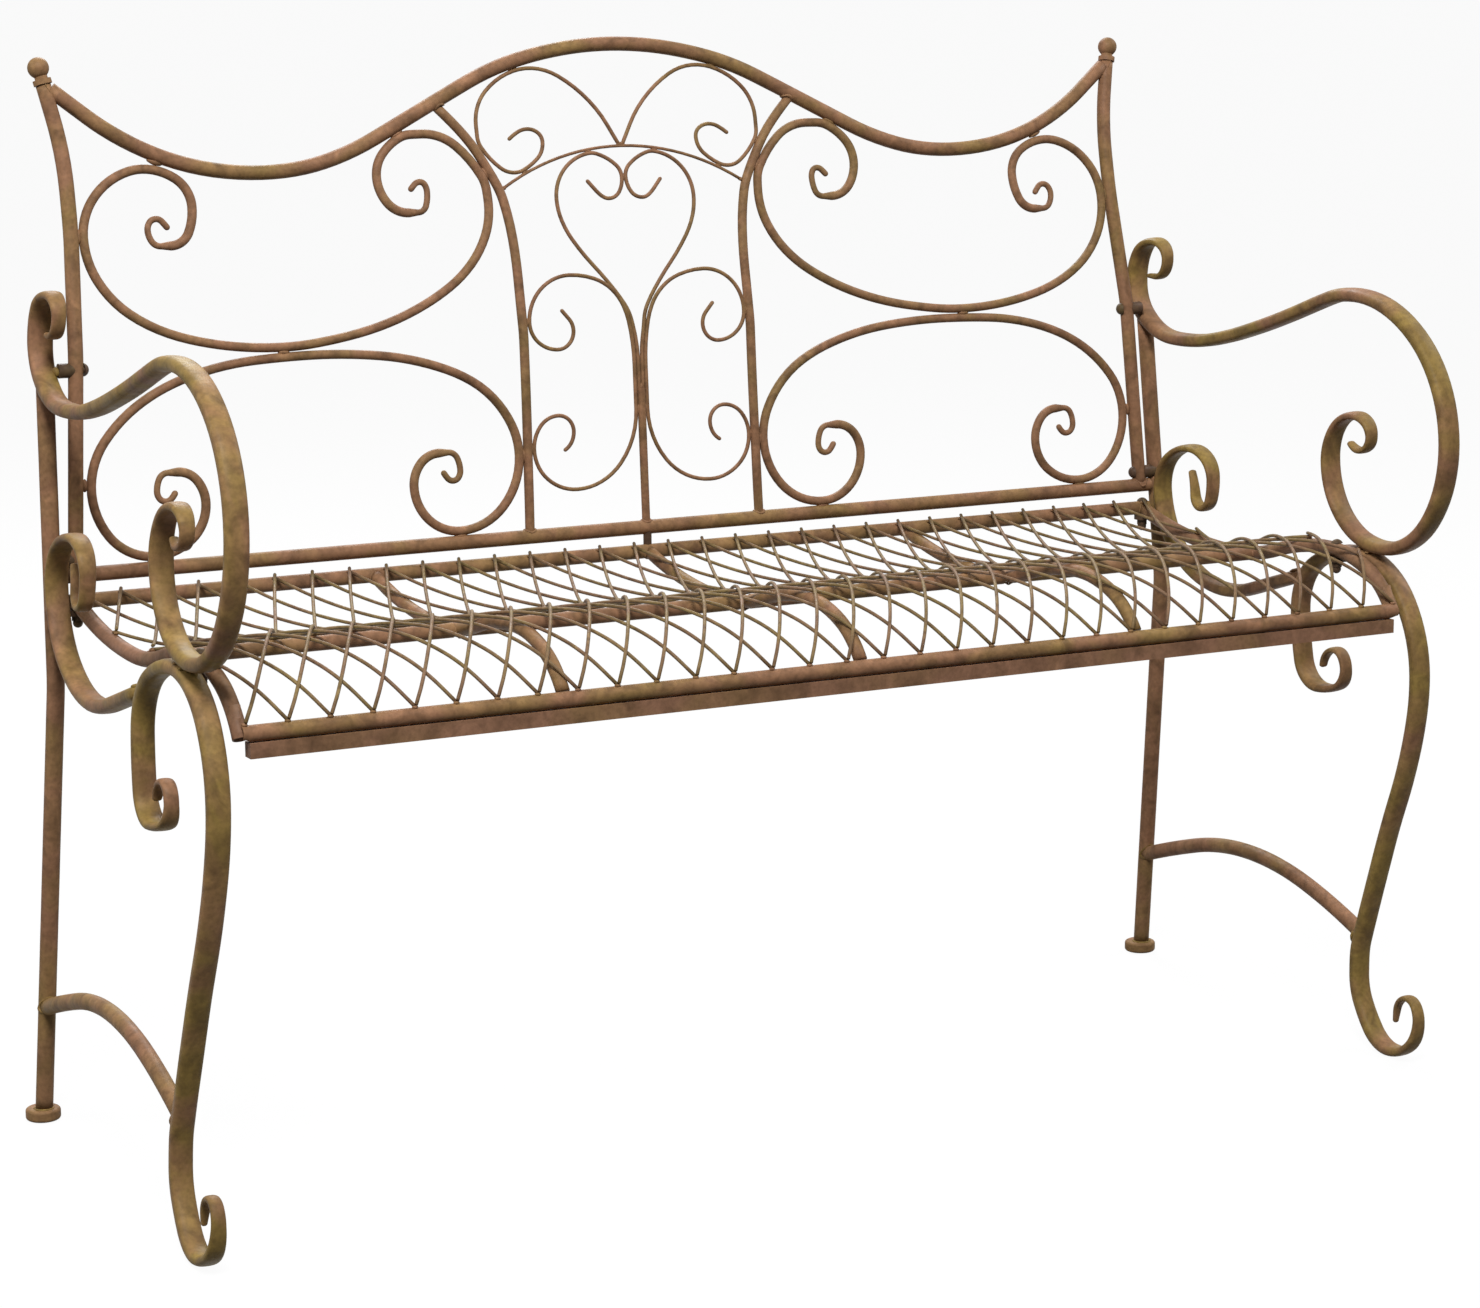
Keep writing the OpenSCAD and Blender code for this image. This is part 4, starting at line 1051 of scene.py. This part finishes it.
def back_welds(word, sign):
    verts, faces = [], []
    for tilt, welds in ((LOWER_TILT, LOWER_WELDS), (UPPER_TILT, UPPER_WELDS)):
        for k, shift, length, depth in welds:
            lump(verts, faces, back_point(tilt, beside(k, shift), sign), back_axes(tilt, k[2], sign),
                 (length, 0.75 * depth, depth))
    # The feet of the inner vertical and the upright on the bottom rail.
    rise, _, _ = back_axes(LOWER_TILT, 90, sign)
    for x, rod_d, bead in ((INNER_FOOT_X, INNER_D, 1.5), (UPRIGHT_FOOT_X, RAIL_D, 1.3)):
        foot = back_point(LOWER_TILT, low(x, BOTTOM_RAIL_Z, 0), sign)
        collar(verts, faces, foot, rise, X, rod_d / 2, RAIL_D / 2, bead)
    # The inner vertical's top on the top rail, and the top rail's end on the upright.
    top = knot_at(TOP_RAIL, 0, INNER_TOP_X)
    reach, _, _ = back_axes(UPPER_TILT, INNER_HIGH[-1][2] + 180, sign)
    tube, _, _ = back_axes(UPPER_TILT, top[2], sign)
    collar(verts, faces, back_point(UPPER_TILT, top, sign), reach, tube, INNER_D / 2, RAIL_D / 2, 1.6)
    end = knot_at(UPRIGHT_HIGH, 1, up(0, TOP_RAIL_END_Z, 0)[1])
    reach, _, _ = back_axes(UPPER_TILT, TOP_RAIL[-1][2] + 180, sign)
    tube, _, _ = back_axes(UPPER_TILT, UPRIGHT_HIGH[-1][2], sign)
    collar(verts, faces, back_point(UPPER_TILT, end, sign), reach, tube, RAIL_D / 2, RAIL_D / 2, 0.9)
    # The thin arc's end on the inner vertical.
    arc = ARC_HALF[1]
    axes = back_axes(UPPER_TILT, arc[2], sign)
    lump(verts, faces, back_point(UPPER_TILT, arc, sign), axes, (2.5, 2.0, 2.0))
    # The beads on the middle line are made once, with the right half.
    if sign > 0:
        foot = back_point(LOWER_TILT, low(0, BOTTOM_RAIL_Z, 0), 1)
        collar(verts, faces, foot, rise, X, STEM_D / 2, RAIL_D / 2, 1.4)
        for tilt, k, radii in CENTER_WELDS:
            lump(verts, faces, back_point(tilt, k, 1), back_axes(tilt, k[2], 1), radii)
    finished((verts, faces), f"back_welds_{word}", "rod_paint", ROD)


both_sides(back_welds)

STRETCHER_REAR_A = 156
STRETCHER_FRONT = (-388, 104, -71)
S_FRONT_WELD = (-290, 447.8, 163)


def side_welds(word, sign):
    verts, faces = [], []
    # The arm's front curl on the front leg, welded along both edges of the line of contact.
    run, across, out = side_axes(CURL_WELD[2], sign)
    for shift in (-6.5, 6.5):
        k = along(CURL_WELD, shift)
        lump(verts, faces, side_point(k[0], k[1], sign), (out, run, across), (9.2, 3.4, 1.7), 8, 12)
    # The s-scroll on the rear leg.
    k = beside(rear_leg_at(S_WELD_Z), LEG_D / 2)
    run, across, out = side_axes(k[2], sign)
    lump(verts, faces, side_point(k[0], k[1], sign), (run, out, across), (8, 5.5, 2.4), 8, 12)
    # The stretcher's two ends.
    k = rear_leg_at(STRETCHER_Z)
    lean, _, _ = side_axes(k[2], sign)
    out, _, _ = side_axes(STRETCHER_REAR_A, sign)
    collar(verts, faces, side_point(k[0], k[1], sign), out, lean, STRETCHER_D / 2, LEG_D / 2, 1.5)
    shin, _, _ = side_axes(STRETCHER_FRONT[2], sign)
    into, _, _ = side_axes(STRETCHER[-1][2] - 180, sign)
    k = beside(STRETCHER_FRONT, 6.2)
    collar(verts, faces, side_point(k[0], k[1] + 2.0, sign), into, shin, STRETCHER_D / 2, 0, 1.5)
    # The rear leg's top under the arm.
    for across in (-0.45 * LEG_D, 0.45 * LEG_D):
        k = along(beside(REAR_LEG[-1], across), arm_over(across))
        run, up_leg, out = side_axes(k[2], sign)
        spot = side_point(k[0], k[1], sign) - run * (STRIP_T / 2)
        lump(verts, faces, spot, (out, up_leg, run), (7, 1.8, 1.8))
    # The s-scroll's front end on the front leg.
    run, across, out = side_axes(S_FRONT_WELD[2], sign)
    for shift in (-5.5, 5.5):
        k = beside(S_FRONT_WELD, shift)
        lump(verts, faces, side_point(k[0] + 1.5, k[1], sign), (out, across, run), (8.5, 2.2, 2.0), 8, 12)
    # The rear leg on its foot.
    collar(verts, faces, Vector((sign * FOOT_X, FOOT_Y - 3, FOOT_H)), Z, X, LEG_D / 2, 0, 1.3)
    # The upper boss on the edge of the arm.
    lump(verts, faces, side_point(-28.5, UPPER_BOSS_Z, sign, -STRIP_W / 2), (X, Y, Z), (3.5, 7, 5))
    finished((verts, faces), f"side_welds_{word}", "strip_paint", STRIP)


both_sides(side_welds)


def seat_welds():
    """Beads at the wires' ends, and at the seat's middle and rear rails."""
    verts, faces = [], []
    for x, k in lower_ends + upper_ends:
        a = math.radians(k[2])
        n = Vector((0, math.sin(a), math.cos(a)))
        c = Vector((x, -k[0] + FOOT_Y, k[1])) + 1.2 * n
        lump(verts, faces, c, (X, Y, Z), (2.6, 2.4, 1.8), 5, 8)
    middle = knot_at(SEAT_LINE, 0, MIDDLE_RAIL_AT)
    a = math.radians(middle[2])
    tube = Vector((0, -math.cos(a), math.sin(a)))
    spot = Vector((0, FOOT_Y - middle[0], middle[1]))
    for x in MEMBER_X:
        for side in (1, -1):
            collar(verts, faces, spot + X * x, X * side, tube, RAIL_D / 2, MEMBER_D / 2, 0.9)
    for side in (1, -1):
        collar(verts, faces, spot + X * (side * SEAT_X), X * -side, tube, RAIL_D / 2, RAIL_D / 2, 0.9)
    start = SEAT_LINE[0]
    slope = math.radians(start[2])
    forward = Vector((0, -math.cos(slope), math.sin(slope)))
    for x in (-SEAT_X, *MEMBER_X, SEAT_X):
        rear = Vector((x, FOOT_Y - start[0], start[1]))
        end_r = (MEMBER_D if x in MEMBER_X else RAIL_D) / 2
        collar(verts, faces, rear, forward, X, end_r, RAIL_D / 2, 1.0)
    finished((verts, faces), "seat_welds", "tube_paint", TUBE)


seat_welds()

# The edges of the square bar and the lugs are slightly round.

for name, width in (("seat_front_bar", 1.3), ("seat_lugs_left", 0.7), ("seat_lugs_right", 0.7)):
    bevel = frame["nodes"][name].modifiers.new("edges", "BEVEL")
    bevel.width = width / 1000
    bevel.segments = 3
    bevel.limit_method = "ANGLE"
    bevel.angle_limit = math.radians(40)

# Floor, light and camera.

FLOOR_REACH = 30
FLOOR_Z = -0.0005
FLOOR_WHITE = 0.95
FLOOR_PALE = (0.85, 0.85, 0.85, 1)
FLOOR_DULL = (0.12, 0.12, 0.12, 1)
SKY_WHITE = 0.953
SKY_LIGHT = 0.06
AIM = (0, 0, 0.5)


def white_share(tree, least, most):
    """How strongly a surface shows as plain white: to the camera, reflected and through glass."""
    nodes, links = tree.nodes, tree.links
    rays = nodes.new("ShaderNodeLightPath")
    mirrored = nodes.new("ShaderNodeMath")
    mirrored.operation = "MAXIMUM"
    links.new(rays.outputs["Is Glossy Ray"], mirrored.inputs[0])
    links.new(rays.outputs["Is Transmission Ray"], mirrored.inputs[1])
    seen = nodes.new("ShaderNodeMath")
    seen.operation = "MAXIMUM"
    links.new(rays.outputs["Is Camera Ray"], seen.inputs[0])
    links.new(mirrored.outputs["Value"], seen.inputs[1])
    share = nodes.new("ShaderNodeMapRange")
    share.inputs["To Min"].default_value = least
    share.inputs["To Max"].default_value = most
    links.new(seen.outputs["Value"], share.inputs["Value"])
    return share.outputs["Result"]


def pale_floor():
    """White to the camera apart from the bench's faint shadow, and darker as a source of light."""
    mesh = bpy.data.meshes.new("floor")
    r = FLOOR_REACH
    corners = [(-r, -r, FLOOR_Z), (r, -r, FLOOR_Z), (r, r, FLOOR_Z), (-r, r, FLOOR_Z)]
    mesh.from_pydata(corners, [], [(0, 1, 2, 3)])
    obj = bpy.data.objects.new("floor", mesh)
    bpy.context.scene.collection.objects.link(obj)
    m = bpy.data.materials.new("floor")
    m.use_nodes = True
    nodes, links = m.node_tree.nodes, m.node_tree.links
    nodes.clear()
    out = nodes.new("ShaderNodeOutputMaterial")
    glow = nodes.new("ShaderNodeEmission")
    pale = nodes.new("ShaderNodeBsdfDiffuse")
    pale.inputs["Color"].default_value = FLOOR_PALE
    white = nodes.new("ShaderNodeMixShader")
    white.inputs["Fac"].default_value = FLOOR_WHITE
    links.new(pale.outputs["BSDF"], white.inputs[1])
    links.new(glow.outputs["Emission"], white.inputs[2])
    dull = nodes.new("ShaderNodeBsdfDiffuse")
    dull.inputs["Color"].default_value = FLOOR_DULL
    either = nodes.new("ShaderNodeMixShader")
    links.new(white_share(m.node_tree, 0.0, 1.0), either.inputs["Fac"])
    links.new(dull.outputs["BSDF"], either.inputs[1])
    links.new(white.outputs["Shader"], either.inputs[2])
    links.new(either.outputs["Shader"], out.inputs["Surface"])
    mesh.materials.append(m)


pale_floor()

world = bpy.data.worlds.new("studio")
bpy.context.scene.world = world
world.use_nodes = True
sky = world.node_tree.nodes["Background"]
sky.inputs["Color"].default_value = (1, 1, 1, 1)
# The sky is as pale as the far floor, so no horizon shows.
strength = white_share(world.node_tree, SKY_LIGHT, SKY_WHITE)
world.node_tree.links.new(strength, sky.inputs["Strength"])


def area_light(name, place, size, power):
    data = bpy.data.lights.new(name, "AREA")
    data.shape = "DISK"
    data.size = size
    data.energy = power
    obj = bpy.data.objects.new(name, data)
    obj.location = place
    obj.rotation_euler = (Vector(AIM) - Vector(place)).to_track_quat("-Z", "Y").to_euler()
    bpy.context.scene.collection.objects.link(obj)


area_light("key", (-1.3, -2.4, 3.6), 1.4, 200)
area_light("right", (3.2, -0.2, 3.0), 1.8, 65)
area_light("left", (-3.2, 0.6, 2.6), 1.8, 45)
area_light("rear", (0.8, 3.0, 3.2), 1.8, 120)

CAMERA_PLACE = (-1.50897, -2.89427, 1.03727)
CAMERA_TURN = (79.2613, 0.3932, -27.5088)
CAMERA_LENS = 88.775
camera = bpy.data.cameras.new("camera")
camera.sensor_width = 36
camera.lens = CAMERA_LENS
camera_object = bpy.data.objects.new("camera", camera)
camera_object.location = CAMERA_PLACE
camera_object.rotation_euler = [math.radians(a) for a in CAMERA_TURN]
bpy.context.scene.collection.objects.link(camera_object)
bpy.context.scene.camera = camera_object
bpy.context.scene.view_settings.view_transform = "Standard"
